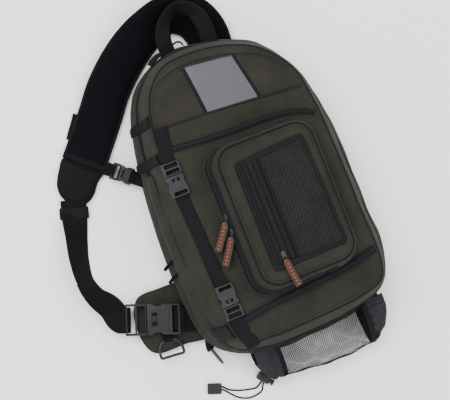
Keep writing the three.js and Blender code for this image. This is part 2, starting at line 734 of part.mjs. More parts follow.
// Padded wing under the large buckle, and the webbing that holds the buckle to the bag
const wingOutline = [
  { across: -0.9, along: -0.38 },
  { across: -1.14, along: -0.37 },
  { across: -1.36, along: -0.375 },
  { across: -1.45, along: -0.45 },
  { across: -1.48, along: -0.56 },
  { across: -1.465, along: -0.67 },
  { across: -1.42, along: -0.73 },
  { across: -1.35, along: -0.755 },
  { across: -1.1, along: -0.76 },
  { across: -0.85, along: -0.77 },
].map(atShares);
addPiece('hip_wing', clearOfBody(plate(wingOutline, floorGap, floorGap + wingThickness)), olive);
placeBuckle('hip_buckle', largeBuckle, buckleCentre.x, buckleCentre.y, largeZ, buckleTurn);
const webEnd = buckleEnd(1);
addPiece('hip_web', clearOfBody(band([
  { ...asShare(webEnd), height: largeZ, roll: 0 },
  { ...asShare(webEnd.clone().addScaledVector(buckleAxis, 9)), height: largeZ - 1.5, roll: 0 },
  { ...asShare(webEnd.clone().addScaledVector(buckleAxis, 34)), height: largeZ - 2, roll: 0 },
], wideWebbing, webbingThickness, 6)), webbing);

// D-shaped loop lying on the wing, held by a short tab
const loopMiddle = toPoint(-1.25, -0.742);
const loopLow = floorGap + wingThickness + gap;
const dShape = (shrink) => {
  const points = [];
  const half = loopWidth / 2 - shrink;
  const low = -loopHeight / 2 + shrink;
  const shoulder = loopHeight / 2 - shrink;
  points.push(new THREE.Vector2(-half, low), new THREE.Vector2(half, low));
  for (let i = 0; i <= 10; i++) {
    const angle = Math.PI * i / 10;
    const rise = loopHeight * 0.55 * Math.sin(angle);
    points.push(new THREE.Vector2(half * Math.cos(angle), shoulder - loopHeight * 0.55 + rise));
  }
  return points.map((p) => p.rotateAround(new THREE.Vector2(), radians(-6)).add(loopMiddle));
};
addPiece('d_loop', plate(dShape(0), loopLow, loopLow + loopBar, [dShape(loopBar)]), plastic);
const tabLength = 9;
const tabTop = loopMiddle.y + loopHeight / 2 + gap;
const tabHeight = loopLow + webbingThickness / 2;
addPiece('d_loop_tab', cut(band([
  { across: loopMiddle.x / halfWidth, along: tabTop / halfLength, height: tabHeight, roll: 0 },
  { across: loopMiddle.x / halfWidth, along: (tabTop + tabLength) / halfLength, height: tabHeight, roll: 0 },
], narrowWebbing * 0.8, webbingThickness - 2 * gap, 3), hipClearance), webbing);

// Chest buckle between the strap's edge and the bag's side
const chestSpot = toPoint(-1.075, 0.388);
const chestTurn = -40;
const chestAxis = new THREE.Vector2(Math.cos(radians(chestTurn)), Math.sin(radians(chestTurn)));
const chestZ = 12;
placeBuckle('chest_buckle', chestBuckle, chestSpot.x, chestSpot.y, chestZ, chestTurn);
const chestEnd = (side, reach) => chestSpot.clone().addScaledVector(
  chestAxis, side * (chestBuckle.length / 2 + gap + reach),
);
const strapClearance = band(strapRows, strapWidth + 2 * gap, strapThickness + 2 * gap, strapSteps);
addPiece('chest_web_strap', cut(band([
  { ...asShare(chestEnd(-1, 0)), height: chestZ, roll: 0 },
  { ...asShare(chestEnd(-1, 3)), height: chestZ, roll: 0 },
  { ...asShare(chestEnd(-1, 9)), height: floorGap + strapThickness / 2 + 2, roll: 0 },
  { ...asShare(chestEnd(-1, 16)), height: floorGap + strapThickness / 2, roll: 0 },
], narrowWebbing, webbingThickness, 8), strapClearance, tipClearance), webbing);
addPiece('chest_web_bag', clearOfBody(band([
  { ...asShare(chestEnd(1, 0)), height: chestZ, roll: 0 },
  { ...asShare(chestEnd(1, 3)), height: chestZ, roll: 0 },
  { ...asShare(chestEnd(1, 9)), height: chestZ + 3, roll: 0 },
  { ...asShare(chestEnd(1, 24)), height: chestZ + 5, roll: 0 },
], narrowWebbing, webbingThickness, 6)), webbing);

// Ring on a webbing tab at the lower left corner, standing on its edge
const ringTurn = radians(-72);
const ringTabRoot = toPoint(-0.86, -0.74);
const ringTabEnd = toPoint(-0.905, -0.835);
const ringHeight = ringRadius + ringWire + floorGap;
addPiece('ring_tab', clearOfBody(band([
  { ...asShare(ringTabRoot), height: ringHeight + 2, roll: 0 },
  { ...asShare(ringTabEnd), height: ringHeight, roll: 0 },
], narrowWebbing * 0.6, webbingThickness, 4)), webbing);
const ring = new THREE.TorusGeometry(ringRadius, ringWire, 6, 18).scale(ringStretch, 1, 1);
ring.rotateX(Math.PI / 2).rotateZ(ringTurn);
const ringPiece = addPiece('side_ring', ring, metal);
const ringReach = (ringRadius + ringWire) * ringStretch + 2 * gap;
const ringCentre = ringTabEnd.clone().add(
  new THREE.Vector2(Math.cos(ringTurn), Math.sin(ringTurn)).multiplyScalar(ringReach),
);
ringPiece.position.set(ringCentre.x, ringCentre.y, ringHeight);

// Two short pulls of the rear zip, out of the left side
for (const [name, along] of [['rear_pull_upper', -0.235], ['rear_pull_lower', -0.32]]) {
  addPiece(name, clearOfBody(band([
    { across: -0.93, along, height: 45, roll: 0 },
    { across: -0.985, along: along - 0.012, height: 43, roll: 0 },
    { across: -1.03, along: along - 0.03, height: 38, roll: 0 },
  ], 4, webbingThickness, 4)), webbing);
}

// Net pouch: a half round tube along the bag's lower end, a row for each station
const pouchStart = -0.56 * halfWidth;
const pouchRows = [
  { along: 0.0, reach: 0.38, depth: 0.9 },
  { along: 0.06, reach: 0.8, depth: 1 },
  { along: 0.12, reach: 0.9, depth: 1 },
  { along: 0.2, reach: 0.86, depth: 0.97 },
  { along: 0.4, reach: 0.97, depth: 1 },
  { along: 0.64, reach: 1, depth: 1 },
  { along: 0.84, reach: 0.92, depth: 1 },
  { along: 0.93, reach: 0.72, depth: 0.95 },
  { along: 0.98, reach: 0.44, depth: 0.85 },
  { along: 1, reach: 0.2, depth: 0.7 },
];
const pouchBase = -0.985 * halfLength;
const pouchLift = 3;
const pouchTuck = 20;
const pouchMiddle = pouchLift + pouchDepth / 2;

function pouchRing(share, inset) {
  let k = 0;
  while (k < pouchRows.length - 2 && pouchRows[k + 1].along < share) k++;
  const [a, b] = [pouchRows[k], pouchRows[k + 1]];
  const t = (share - a.along) / (b.along - a.along);
  const reach = THREE.MathUtils.lerp(a.reach, b.reach, t) * pouchReach - inset;
  const depth = THREE.MathUtils.lerp(a.depth, b.depth, t) * pouchDepth / 2 - inset;
  const points = [];
  for (let i = 0; i <= 10; i++) {
    const angle = radians(-90 + 18 * i);
    points.push([pouchBase - reach * Math.cos(angle), pouchMiddle + depth * Math.sin(angle)]);
  }
  points.push([pouchBase + pouchTuck, pouchMiddle + depth], [pouchBase + pouchTuck, pouchMiddle - depth]);
  return points.map(([y, z]) => new THREE.Vector3(pouchStart + share * pouchLength, y, z));
}

function pouchShell(from, to, closeStart, closeEnd) {
  const shares = [from, ...pouchRows.map((row) => row.along).filter((s) => s > from + 0.01 && s < to - 0.01), to];
  const outer = loft(shares.map((s) => pouchRing(s, 0)));
  const lip = netThickness / pouchLength;
  const inner = loft([
    from + (closeStart ? lip : -lip), ...shares.slice(1, -1), to + (closeEnd ? -lip : lip),
  ].map((s) => pouchRing(s, netThickness)));
  return clearOfBody(cut(outer, inner));
}
const hemEnd = 0.19;
const netEnd = 0.85;
const jointGap = gap / pouchLength;
const netHoles = [];
for (let column = 0; column < netColumns; column++) {
  for (let row = 0; row < netRows; row++) {
    const share = hemEnd + (netEnd - hemEnd) * (column + 0.5) / netColumns;
    const pin = new THREE.CylinderGeometry(netHole / 2, netHole / 2, pouchDepth * 2, 4);
    const y = pouchBase - pouchReach * (0.17 + 0.62 * (row + 0.5) / netRows);
    netHoles.push(pin.rotateX(Math.PI / 2).translate(pouchStart + share * pouchLength, y, pouchMiddle));
  }
}
const netBody = toSolid(pouchShell(hemEnd + jointGap, netEnd - jointGap, false, false));
const netCut = netHoles.reduce((solid, hole) => solid.subtract(toSolid(hole)), netBody);
addPiece('net_pouch', toGeometry(netCut), netCloth);
addPiece('pouch_end', pouchShell(netEnd, 1, false, true), netCloth);

// Cord lock beside the pouch's hem, its axis turned down to the right
const lockTurn = -51;
const lockSpot = new THREE.Vector2(pouchStart + 0.0262 * pouchLength, pouchBase - 0.709 * pouchReach);
const lockZ = floorGap + lockHeight / 2;
const placeLock = (geometry) => geometry.clone().rotateZ(radians(lockTurn)).translate(lockSpot.x, lockSpot.y, lockZ);
const lockBlock = (grow) => block(0, 0, 0, lockLength + 2 * grow, lockWidth + 2 * grow, lockHeight + 2 * grow);
addPiece('pouch_hem', cut(
  pouchShell(0, hemEnd, true, false), placeLock(lockBlock(gap)),
), netCloth);
const roundAlongX = (radius, from, to) => {
  const barrel = new THREE.CylinderGeometry(radius, radius, to - from, 16);
  return barrel.rotateZ(Math.PI / 2).translate((from + to) / 2, 0, 0);
};
const stemDepth = lockLength * 0.6;
const lockBore = roundAlongX(plungerRadius + plungerClearance, lockLength / 2 - stemDepth, lockLength / 2 + 1);
const lockMesh = addPiece('cord_lock', cut(lockBlock(0), lockBore), plastic);
const stemEnd = lockLength / 2 - stemDepth + plungerTravel + plungerClearance;
const headStart = lockLength / 2 + plungerTravel + plungerClearance;
const plungerMesh = addPiece('cord_lock_plunger', join(
  roundAlongX(plungerRadius, stemEnd, headStart + 1),
  roundAlongX(plungerHead, headStart, headStart + plungerHeadLength),
), plastic);
for (const piece of [lockMesh, plungerMesh]) {
  piece.position.set(lockSpot.x, lockSpot.y, lockZ);
  piece.rotation.z = radians(lockTurn);
}

// Drawcord: two strands from the lock's lower side to the flat end piece. Each leaves and
// meets a fitting square to its face, and lies on the surface between. Rows are shares of the
// cord's span from the lock.
const cordZ = cordDiameter / 2 + floorGap;
const endTurn = -21;
const cordSpan = 74;
const fromCord = (row) => new THREE.Vector2(row.across, row.along).multiplyScalar(cordSpan).add(lockSpot);
const endCentre = fromCord({ across: -0.997, along: 0.173 });
const fromLock = (along, out) => new THREE.Vector2(along, -lockWidth / 2 - gap - out)
  .rotateAround(new THREE.Vector2(), radians(lockTurn)).add(lockSpot);
const fromEnd = (side, out) => new THREE.Vector2(cordEndLength / 2 + gap + out, side)
  .rotateAround(new THREE.Vector2(), radians(endTurn)).add(endCentre);
const squareRun = 2;
const upperStrand = [
  { across: -0.213, along: -0.138 },
  { across: -0.294, along: -0.124 },
  { across: -0.375, along: -0.105 },
  { across: -0.456, along: -0.084 },
  { across: -0.538, along: -0.057 },
  { across: -0.619, along: -0.023 },
  { across: -0.686, along: 0.014 },
  { across: -0.754, along: 0.060 },
];
const lowerStrand = [
  { across: -0.119, along: -0.232 },
  { across: -0.186, along: -0.265 },
  { across: -0.267, along: -0.276 },
  { across: -0.362, along: -0.276 },
  { across: -0.456, along: -0.257 },
  { across: -0.551, along: -0.213 },
  { across: -0.632, along: -0.157 },
  { across: -0.700, along: -0.084 },
  { across: -0.767, along: -0.003 },
];
const strands = [
  { name: 'drawcord_upper', rows: upperStrand, lockAlong: 0.6, endSide: 2.2 },
  { name: 'drawcord_lower', rows: lowerStrand, lockAlong: 5, endSide: -2.2 },
];
for (const { name, rows, lockAlong, endSide } of strands) {
  const places = [
    fromLock(lockAlong, 0), fromLock(lockAlong, squareRun),
    ...rows.map(fromCord),
    fromEnd(endSide, squareRun), fromEnd(endSide, 0),
  ];
  const route = new THREE.CatmullRomCurve3(places.map((p) => new THREE.Vector3(p.x, p.y, cordZ)));
  const section = new THREE.Shape();
  section.absarc(0, 0, cordDiameter / 2, 0, 2 * Math.PI);
  const cord = new THREE.ExtrudeGeometry(section, {
    steps: 20, curveSegments: 4, bevelEnabled: false, extrudePath: route,
  });
  addPiece(name, cord, webbing);
  freeCord.add(name);
}
const endPiece = addPiece('cord_end', new THREE.BoxGeometry(cordEndLength, cordEndWidth, cordEndHeight), plastic);
endPiece.position.set(endCentre.x, endCentre.y, floorGap + cordEndHeight / 2);
endPiece.rotation.z = radians(endTurn);
freeCord.add('cord_end');

// Origin at the bottom centre of everything but the free cord
const bounds = new THREE.Box3();
bag.updateMatrixWorld(true);
for (const mesh of bag.children) {
  if (!freeCord.has(mesh.name)) bounds.expandByObject(mesh, true);
}
const middle = bounds.getCenter(new THREE.Vector3());
bag.position.set(-middle.x, -middle.y, -bounds.min.z);

const part = new THREE.Group();
part.add(bag);

export default part;
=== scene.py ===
import bpy
import math
from mathutils import Matrix, Vector, noise


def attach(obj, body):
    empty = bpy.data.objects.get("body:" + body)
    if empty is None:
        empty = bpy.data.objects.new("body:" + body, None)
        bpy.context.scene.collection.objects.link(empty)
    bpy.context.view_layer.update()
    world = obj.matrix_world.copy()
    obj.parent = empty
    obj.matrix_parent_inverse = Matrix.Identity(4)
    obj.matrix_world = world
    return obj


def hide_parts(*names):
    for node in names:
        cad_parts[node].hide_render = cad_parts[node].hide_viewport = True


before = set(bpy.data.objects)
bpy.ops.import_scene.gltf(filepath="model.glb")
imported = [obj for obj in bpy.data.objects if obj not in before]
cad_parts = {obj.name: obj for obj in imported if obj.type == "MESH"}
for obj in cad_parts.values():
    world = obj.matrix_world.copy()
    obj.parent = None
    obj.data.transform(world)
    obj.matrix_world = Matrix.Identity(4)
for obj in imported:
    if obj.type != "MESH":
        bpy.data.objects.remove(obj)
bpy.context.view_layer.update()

# The bag is drawn in millimetres about its own middle, and this is where that middle stands
bagMiddle = (65.80, -14.82)
halfWidth = 155
halfLength = 232


def spot(x, y, z):
    return Vector(((x + bagMiddle[0]) / 1000, (y + bagMiddle[1]) / 1000, z / 1000))


# short forms for the shader nodes


class Socket:
    # one shader socket: + - * / on it add Math nodes
    def __init__(self, shader, link):
        self.shader = shader
        self.link = link

    def maths(self, operation, *values):
        return self.shader.node("ShaderNodeMath", {"operation": operation}, dict(enumerate(values)))

    def __add__(self, other):
        return self.maths("ADD", self, other)

    def __radd__(self, other):
        return self.maths("ADD", other, self)

    def __sub__(self, other):
        return self.maths("SUBTRACT", self, other)

    def __rsub__(self, other):
        return self.maths("SUBTRACT", other, self)

    def __mul__(self, other):
        return self.maths("MULTIPLY", self, other)

    def __rmul__(self, other):
        return self.maths("MULTIPLY", other, self)

    def __truediv__(self, other):
        return self.maths("DIVIDE", self, other)

    def __lt__(self, other):
        return self.maths("LESS_THAN", self, other)

    def __gt__(self, other):
        return self.maths("GREATER_THAN", self, other)

    def sine(self):
        return self.maths("SINE", self)

    def size(self):
        return self.maths("ABSOLUTE", self)

    def limit(self):
        return self.maths("MAXIMUM", self.maths("MINIMUM", self, 1.0), 0.0)

    def fraction(self):
        return self.maths("FRACT", self)


class Shader:
    def __init__(self, name):
        self.material = bpy.data.materials.new(name)
        self.material.use_nodes = True
        self.tree = self.material.node_tree
        self.surface = self.tree.nodes["Principled BSDF"]

    def node(self, kind, settings=None, inputs=None, output=0):
        made = self.tree.nodes.new(kind)
        for key, value in (settings or {}).items():
            if key == "stops":
                ramp = made.color_ramp
                while len(ramp.elements) < len(value):
                    ramp.elements.new(0.5)
                for element, (place, colour) in zip(ramp.elements, value):
                    element.position = place
                    element.color = (*colour, 1)
            else:
                setattr(made, key, value)
        for key, value in (inputs or {}).items():
            if isinstance(value, Socket):
                self.tree.links.new(value.link, made.inputs[key])
            else:
                made.inputs[key].default_value = value
        return Socket(self, made.outputs[output])

    def axes(self, source="Object"):
        place = self.node("ShaderNodeTexCoord", output=3 if source == "Object" else 2)
        split = self.tree.nodes.new("ShaderNodeSeparateXYZ")
        self.tree.links.new(place.link, split.inputs[0])
        return place, [Socket(self, split.outputs[i]) for i in range(3)]

    def noise(self, place, scale, detail=2.0, roughness=0.5):
        return self.node("ShaderNodeTexNoise", None, {"Vector": place, "Scale": scale, "Detail": detail,
                                                      "Roughness": roughness})

    def mix(self, factor, first, second):
        made = self.tree.nodes.new("ShaderNodeMix")
        made.data_type = "RGBA"
        for index, value in ((0, factor), (6, first), (7, second)):
            if isinstance(value, Socket):
                self.tree.links.new(value.link, made.inputs[index])
            else:
                made.inputs[index].default_value = value if index == 0 else (*value, 1)
        return Socket(self, made.outputs[2])

    def bump(self, height, strength, distance):
        return self.node("ShaderNodeBump", None, {"Strength": strength, "Distance": distance, "Height": height})

    def finish(self, **sockets):
        for key, value in sockets.items():
            name = {"colour": "Base Color", "roughness": "Roughness", "metallic": "Metallic", "normal": "Normal",
                    "sheen": "Sheen Weight", "sheenRoughness": "Sheen Roughness", "alpha": "Alpha",
                    "specular": "Specular IOR Level", "coat": "Coat Weight"}[key]
            target = self.surface.inputs[name]
            if isinstance(value, Socket):
                self.tree.links.new(value.link, target)
            else:
                target.default_value = (*value, 1) if key == "colour" else value
        return self.material


def paint(red, green, blue):
    # an sRGB colour of 0 to 255 as the linear values that shaders take
    def line(v):
        v = v / 255
        return v / 12.92 if v <= 0.04045 else ((v + 0.055) / 1.055) ** 2.4
    return line(red), line(green), line(blue)


print("stage: materials")

oliveLook = {"colour": (40, 39, 34), "light": (51, 49, 43), "dark": (28, 28, 24), "weave": 0.9, "bump": 0.5}


def makeOlive(name, look):
    # twill-like polyester: fine diagonal ribs crossed by threads, with soft blotches of wear
    s = Shader(name)
    place, (x, y, z) = s.axes()
    pitch = 2 * math.pi / (look["weave"] / 1000)
    ribs = ((x * 0.94 + y * 0.34 + z * 0.4) * pitch).sine()
    threads = ((x * -0.34 + y * 0.94 + z * 0.35) * pitch).sine()
    weave = ribs * threads * 0.5 + 0.5
    blotch = s.noise(place, 18, 4, 0.6)
    fine = s.noise(place, 420, 2, 0.7)
    wear = s.noise(place, 60, 3, 0.65)
    grain = s.noise(place, 340, 2, 0.7)
    base = s.mix(((blotch - 0.5) * 1.9 + 0.42).limit(), paint(*look["dark"]), paint(*look["light"]))
    base = s.mix((weave * 0.34 + fine * 0.3).limit(), base, paint(*look["colour"]))
    base = s.mix(((wear - 0.56) * 2.2).limit() * 0.3, base, paint(58, 56, 48))
    base = s.mix(((grain - 0.4) * 3).limit() * 0.5, base, paint(*look["dark"]))
    return s.finish(colour=base, roughness=(fine * 0.16 + 0.8), specular=0.1, sheen=0.03, sheenRoughness=0.5,
                    normal=s.bump(weave * 0.5 + fine * 0.4 + grain * 0.7, look["bump"], 0.0005))


def makeTape(name, colour, light):
    # zip tape and bindings: a fine herringbone over a near black ground with a purple cast
    s = Shader(name)
    place, (x, y, z) = s.axes()
    ribs = ((x * 0.35 - y * 0.94 + z * 0.5) * (2 * math.pi / 0.0011)).sine()
    cross = ((x * 0.94 + y * 0.35 + z * 0.3) * (2 * math.pi / 0.0016)).sine()
    fine = s.noise(place, 500, 2, 0.6)
    blotch = s.noise(place, 40, 3, 0.6)
    weave = ribs * 0.35 + cross * 0.25 + fine * 0.4
    base = s.mix((blotch * 0.8 + weave * 0.35 - 0.1).limit(), paint(*colour), paint(*light))
    return s.finish(colour=base, roughness=0.66 + fine * 0.14, specular=0.14,
                    normal=s.bump(weave, 0.4, 0.0003))


def makeWebbing(name, colour, light, ribs=0.0022):
    # webbing: ribs along the strap's length, from the piece's own UV in metres
    s = Shader(name)
    place, (u, v, w) = s.axes("UV")
    along = (u * (2 * math.pi / ribs)).sine()
    chevron = ((v + (u * (1 / ribs)).fraction().size() * ribs) * (2 * math.pi / 0.0016)).sine()
    fine = s.noise(place, 900, 2, 0.6)
    blotch = s.noise(place, 30, 2, 0.5)
    weave = along * 0.4 + chevron * 0.35 + fine * 0.3
    base = s.mix((weave * 0.4 + blotch * 0.5).limit(), paint(*colour), paint(*light))
    return s.finish(colour=base, roughness=0.74 + fine * 0.12, specular=0.12,
                    normal=s.bump(weave, 0.5, 0.0004))


def makeSpacer(name):
    # strap cloth: near black spacer mesh, tiny cells in offset rows
    s = Shader(name)
    place, (x, y, z) = s.axes()
    step = 2 * math.pi / 0.0026
    cells = (x * step).sine() * (y * step).sine()
    fine = s.noise(place, 700, 2, 0.6)
    blotch = s.noise(place, 25, 3, 0.6)
    base = s.mix((cells * 0.3 + blotch * 0.7 - 0.05).limit(), paint(2, 3, 5), paint(10, 13, 18))
    return s.finish(colour=base, roughness=0.82, specular=0.08,
                    normal=s.bump(cells * 0.6 + fine * 0.4, 0.45, 0.0004))


def makePlastic(name, colour, roughness=0.42):
    # moulded plastic: fine grain, a little lighter where it is handled
    s = Shader(name)
    place, (x, y, z) = s.axes()
    grain = s.noise(place, 1600, 2, 0.6)
    worn = s.noise(place, 70, 3, 0.6)
    light = tuple(min(255, c + 18) for c in colour)
    base = s.mix(((worn - 0.45) * 1.6).limit(), paint(*colour), paint(*light))
    return s.finish(colour=base, roughness=roughness + worn * 0.14, specular=0.32,
                    normal=s.bump(grain, 0.12, 0.0002))


def makeMetal(name):
    s = Shader(name)
    place, (x, y, z) = s.axes()
    worn = s.noise(place, 300, 3, 0.6)
    base = s.mix(worn, paint(26, 26, 29), paint(78, 78, 84))
    return s.finish(colour=base, metallic=0.85, roughness=0.28 + worn * 0.2, normal=s.bump(worn, 0.1, 0.0002))


def makeReflective(name):
    # reflective film: a smooth grey with a fine bead grain and a few soft scuffs
    s = Shader(name)
    place, (x, y, z) = s.axes()
    bead = s.noise(place, 2200, 1, 0.5)
    scuff = s.noise(place, 120, 4, 0.6)
    broad = s.noise(place, 14, 2, 0.5)
    base = s.mix((broad * 0.9 + (scuff - 0.5) * 0.5).limit(), paint(58, 58, 66), paint(70, 70, 78))
    base = s.mix(((scuff - 0.66) * 5).limit() * 0.5, base, paint(92, 92, 104))
    return s.finish(colour=base, roughness=0.42 + bead * 0.12, specular=0.5, normal=s.bump(bead, 0.15, 0.0002))


def makeRibbon(name):
    # woven ribbon: green edges, rust middle with rows of cream dots and red lozenges
    s = Shader(name)
    place, (u, v, w) = s.axes("UV")
    across = (u / 0.0105 - 0.5).size()
    row = (v / 0.0052).fraction() - 0.5
    fine = s.noise(place, 2500, 2, 0.6)
    lozenge = ((row.size() * 1.4 + across * 1.5) < 0.5)
    dot = ((row.size() * 1.6 + across * 2.6) < 0.24)
    edge = (across > 0.36)
    dash = ((v / 0.0026).fraction() > 0.5)
    base = s.mix(fine, paint(46, 19, 7), paint(68, 32, 14))
    base = s.mix(lozenge * 0.85, base, paint(86, 9, 4))
    base = s.mix(dot * 0.9, base, paint(140, 120, 82))
    base = s.mix(edge * 0.95, base, paint(12, 25, 9))
    base = s.mix(edge * dash * 0.6, base, paint(62, 60, 28))
    return s.finish(colour=base, roughness=0.8, normal=s.bump(fine, 0.3, 0.0003))


olive = makeOlive("olive cloth", oliveLook)
oliveDark = makeOlive("olive cloth in shade", {**oliveLook, "colour": (31, 31, 27), "light": (38, 37, 32),
                                               "dark": (23, 23, 20)})
tape = makeTape("zip tape", (11, 11, 13), (23, 22, 27))
coil = makePlastic("zip coil", (14, 14, 17), 0.5)
piping = makeTape("piping", (10, 10, 11), (20, 20, 21))
webbing = makeWebbing("black webbing", (12, 12, 14), (25, 25, 28))
strapWeb = makeWebbing("strap webbing", (5, 6, 8), (13, 15, 18))
handleWeb = makeWebbing("handle webbing", (11, 11, 13), (24, 24, 27), 0.003)
spacer = makeSpacer("spacer mesh")
binding = makeTape("strap binding", (3, 3, 5), (9, 10, 13))
plastic = makePlastic("buckle plastic", (25, 25, 29))
plasticDark = makePlastic("large buckle plastic", (14, 15, 18))
steel = makeMetal("dark nickel")
reflective = makeReflective("reflective film")
ribbon = makeRibbon("woven ribbon")
netCloth = makeTape("net cord", (8, 8, 10), (22, 22, 25))
nylon = makeTape("thin nylon", (22, 22, 26), (50, 50, 56))
meshThread = makeTape("window thread", (31, 30, 29), (60, 58, 56))
# painted shade: near black standing in for the dark inside of the pocket seen through the window net's holes
windowPaintedShade = makeTape("window painted shade", (3, 3, 3), (8, 8, 8))
thread = makeTape("sewing thread", (20, 20, 16), (40, 39, 32))

# camera, light and floor

print("stage: camera and floor")

cameraPlace = {"at": (-340.7, -0.9, 1726.2), "right": (0.9163, -0.3665, 0.1616), "up": (0.3609, 0.9304, 0.0636),
               "back": (-0.1736, 0.0, 0.9848), "lens": 93.84}
cameraData = bpy.data.cameras.new("camera")
cameraData.lens = cameraPlace["lens"]
cameraData.sensor_width = 36
cameraObject = bpy.data.objects.new("camera", cameraData)
bpy.context.collection.objects.link(cameraObject)
turn = Matrix((cameraPlace["right"], cameraPlace["up"], cameraPlace["back"])).transposed()
cameraObject.matrix_world = Matrix.Translation(spot(*cameraPlace["at"])) @ turn.to_4x4()
bpy.context.scene.camera = cameraObject

floorSize = 12
bpy.ops.mesh.primitive_plane_add(size=floorSize, location=(0, 0, 0))
floorPiece = bpy.context.object
floorPiece.name = "floor"
floorLook = Shader("pale floor")
floorPlace = floorLook.axes()[0]
floorTone = floorLook.mix(floorLook.noise(floorPlace, 3, 3, 0.5), (0.92, 0.92, 0.92), (0.95, 0.95, 0.95))
floorPiece.data.materials.append(floorLook.finish(colour=floorTone, roughness=0.9, specular=0.1))

lamps = [
    {"name": "key", "at": (-0.9, 1.1, 2.1), "size": 1.6, "power": 70},
    {"name": "fill", "at": (1.3, -0.3, 2.0), "size": 1.8, "power": 26},
    {"name": "low", "at": (-0.3, -1.5, 1.6), "size": 1.6, "power": 16},
]
for lamp in lamps:
    data = bpy.data.lights.new(lamp["name"], "AREA")
    data.size = lamp["size"]
    data.energy = lamp["power"]
    thing = bpy.data.objects.new(lamp["name"], data)
    bpy.context.collection.objects.link(thing)
    thing.location = lamp["at"]
    thing.rotation_mode = "QUATERNION"
    thing.rotation_quaternion = (-Vector(lamp["at"])).to_track_quat("-Z", "Y")
world = bpy.data.worlds.new("studio")
world.use_nodes = True
world.node_tree.nodes["Background"].inputs[0].default_value = (1, 1, 1, 1)
world.node_tree.nodes["Background"].inputs[1].default_value = 1.1
bpy.context.scene.world = world

# making the pieces


def deselect():
    if bpy.context.object and bpy.context.object.mode != "OBJECT":
        bpy.ops.object.mode_set(mode="OBJECT")
    bpy.ops.object.select_all(action="DESELECT")


def pick(piece):
    deselect()
    piece.select_set(True)
    bpy.context.view_layer.objects.active = piece


def settle(piece, material, body="bag", stand=(), smooth=60):
    pick(piece)
    bpy.ops.object.transform_apply(location=True, rotation=True, scale=True)
    if material:
        piece.data.materials.clear()
        piece.data.materials.append(material)
    if smooth:
        bpy.ops.object.shade_smooth_by_angle(angle=math.radians(smooth))
    if stand:
        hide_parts(*stand)
    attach(piece, body)
    return piece


def outward(piece, weld=0.00001):
    pick(piece)
    bpy.ops.object.mode_set(mode="EDIT")
    bpy.ops.mesh.select_all(action="SELECT")
    bpy.ops.mesh.remove_doubles(threshold=weld)
    bpy.ops.mesh.normals_make_consistent(inside=False)
    bpy.ops.object.mode_set(mode="OBJECT")


def apply(piece, kind, **settings):
    pick(piece)
    modifier = piece.modifiers.new(kind.lower(), kind)
    for key, value in settings.items():
        setattr(modifier, key, value)
    bpy.ops.object.modifier_apply(modifier=modifier.name)


def fromMesh(name, points, faces, uvs=None):
    mesh = bpy.data.meshes.new(name)
    mesh.from_pydata([spot(*p) for p in points], [], faces)
    if uvs:
        layer = mesh.uv_layers.new(name="cloth")
        for loop in mesh.loops:
            layer.data[loop.index].uv = uvs[loop.vertex_index]
    mesh.update()
    piece = bpy.data.objects.new(name, mesh)
    bpy.context.collection.objects.link(piece)
    return piece


def loft(name, rings, closeEnds=True, closedRing=True, uvs=None):
    # a skin through rings of points, fanned shut at both ends
    count = len(rings[0])
    points = [p for ring in rings for p in ring]
    faces = []
    for r in range(len(rings) - 1):
        for i in range(count if closedRing else count - 1):
            a = r * count + i
            b = r * count + (i + 1) % count
            faces.append((a, b, b + count, a + count))
    if closeEnds:
        for first in (0, (len(rings) - 1) * count):
            middle = [sum(points[first + i][k] for i in range(count)) / count for k in range(3)]
            points.append(tuple(middle))
            for i in range(count):
                faces.append((len(points) - 1, first + (i + 1) % count, first + i))
    piece = fromMesh(name, points, faces, uvs)
    outward(piece)
    return piece


def smoothPath(points, steps, closed=False):
    # centripetal Catmull-Rom through the points, evenly spread by length
    pts = [Vector(p) for p in points]
    if closed:
        pts = [pts[-1]] + pts + [pts[0], pts[1]]
    else:
        pts = [pts[0] * 2 - pts[1]] + pts + [pts[-1] * 2 - pts[-2]]
    dense = []
    for k in range(1, len(pts) - 2):
        p0, p1, p2, p3 = pts[k - 1:k + 3]
        t1 = max((p1 - p0).length, 1e-4) ** 0.5
        t2 = t1 + max((p2 - p1).length, 1e-4) ** 0.5
        t3 = t2 + max((p3 - p2).length, 1e-4) ** 0.5
        for j in range(24):
            t = t1 + (t2 - t1) * j / 24
            a1 = p0 * ((t1 - t) / t1) + p1 * (t / t1)
            a2 = p1 * ((t2 - t) / (t2 - t1)) + p2 * ((t - t1) / (t2 - t1))
            a3 = p2 * ((t3 - t) / (t3 - t2)) + p3 * ((t - t2) / (t3 - t2))
            b1 = a1 * ((t2 - t) / t2) + a2 * (t / t2)
            b2 = a2 * ((t3 - t) / (t3 - t1)) + a3 * ((t - t1) / (t3 - t1))
            dense.append(b1 * ((t2 - t) / (t2 - t1)) + b2 * ((t - t1) / (t2 - t1)))
    dense.append(pts[-2])
    lengths = [0.0]
    for a, b in zip(dense, dense[1:]):
        lengths.append(lengths[-1] + (b - a).length)
    total, out, k = lengths[-1], [], 0
    for i in range(steps if closed else steps + 1):
        want = total * i / steps
        while k < len(dense) - 2 and lengths[k + 1] < want:
            k += 1
        share = (want - lengths[k]) / max(lengths[k + 1] - lengths[k], 1e-9)
        out.append(dense[k].lerp(dense[k + 1], share))
    return out


def along(table, x):
    # value of a table of (place, value) rows, straight between rows
    if x <= table[0][0]:
        return table[0][1]
    for (a, va), (b, vb) in zip(table, table[1:]):
        if x <= b:
            return va + (vb - va) * (x - a) / (b - a)
    return table[-1][1]


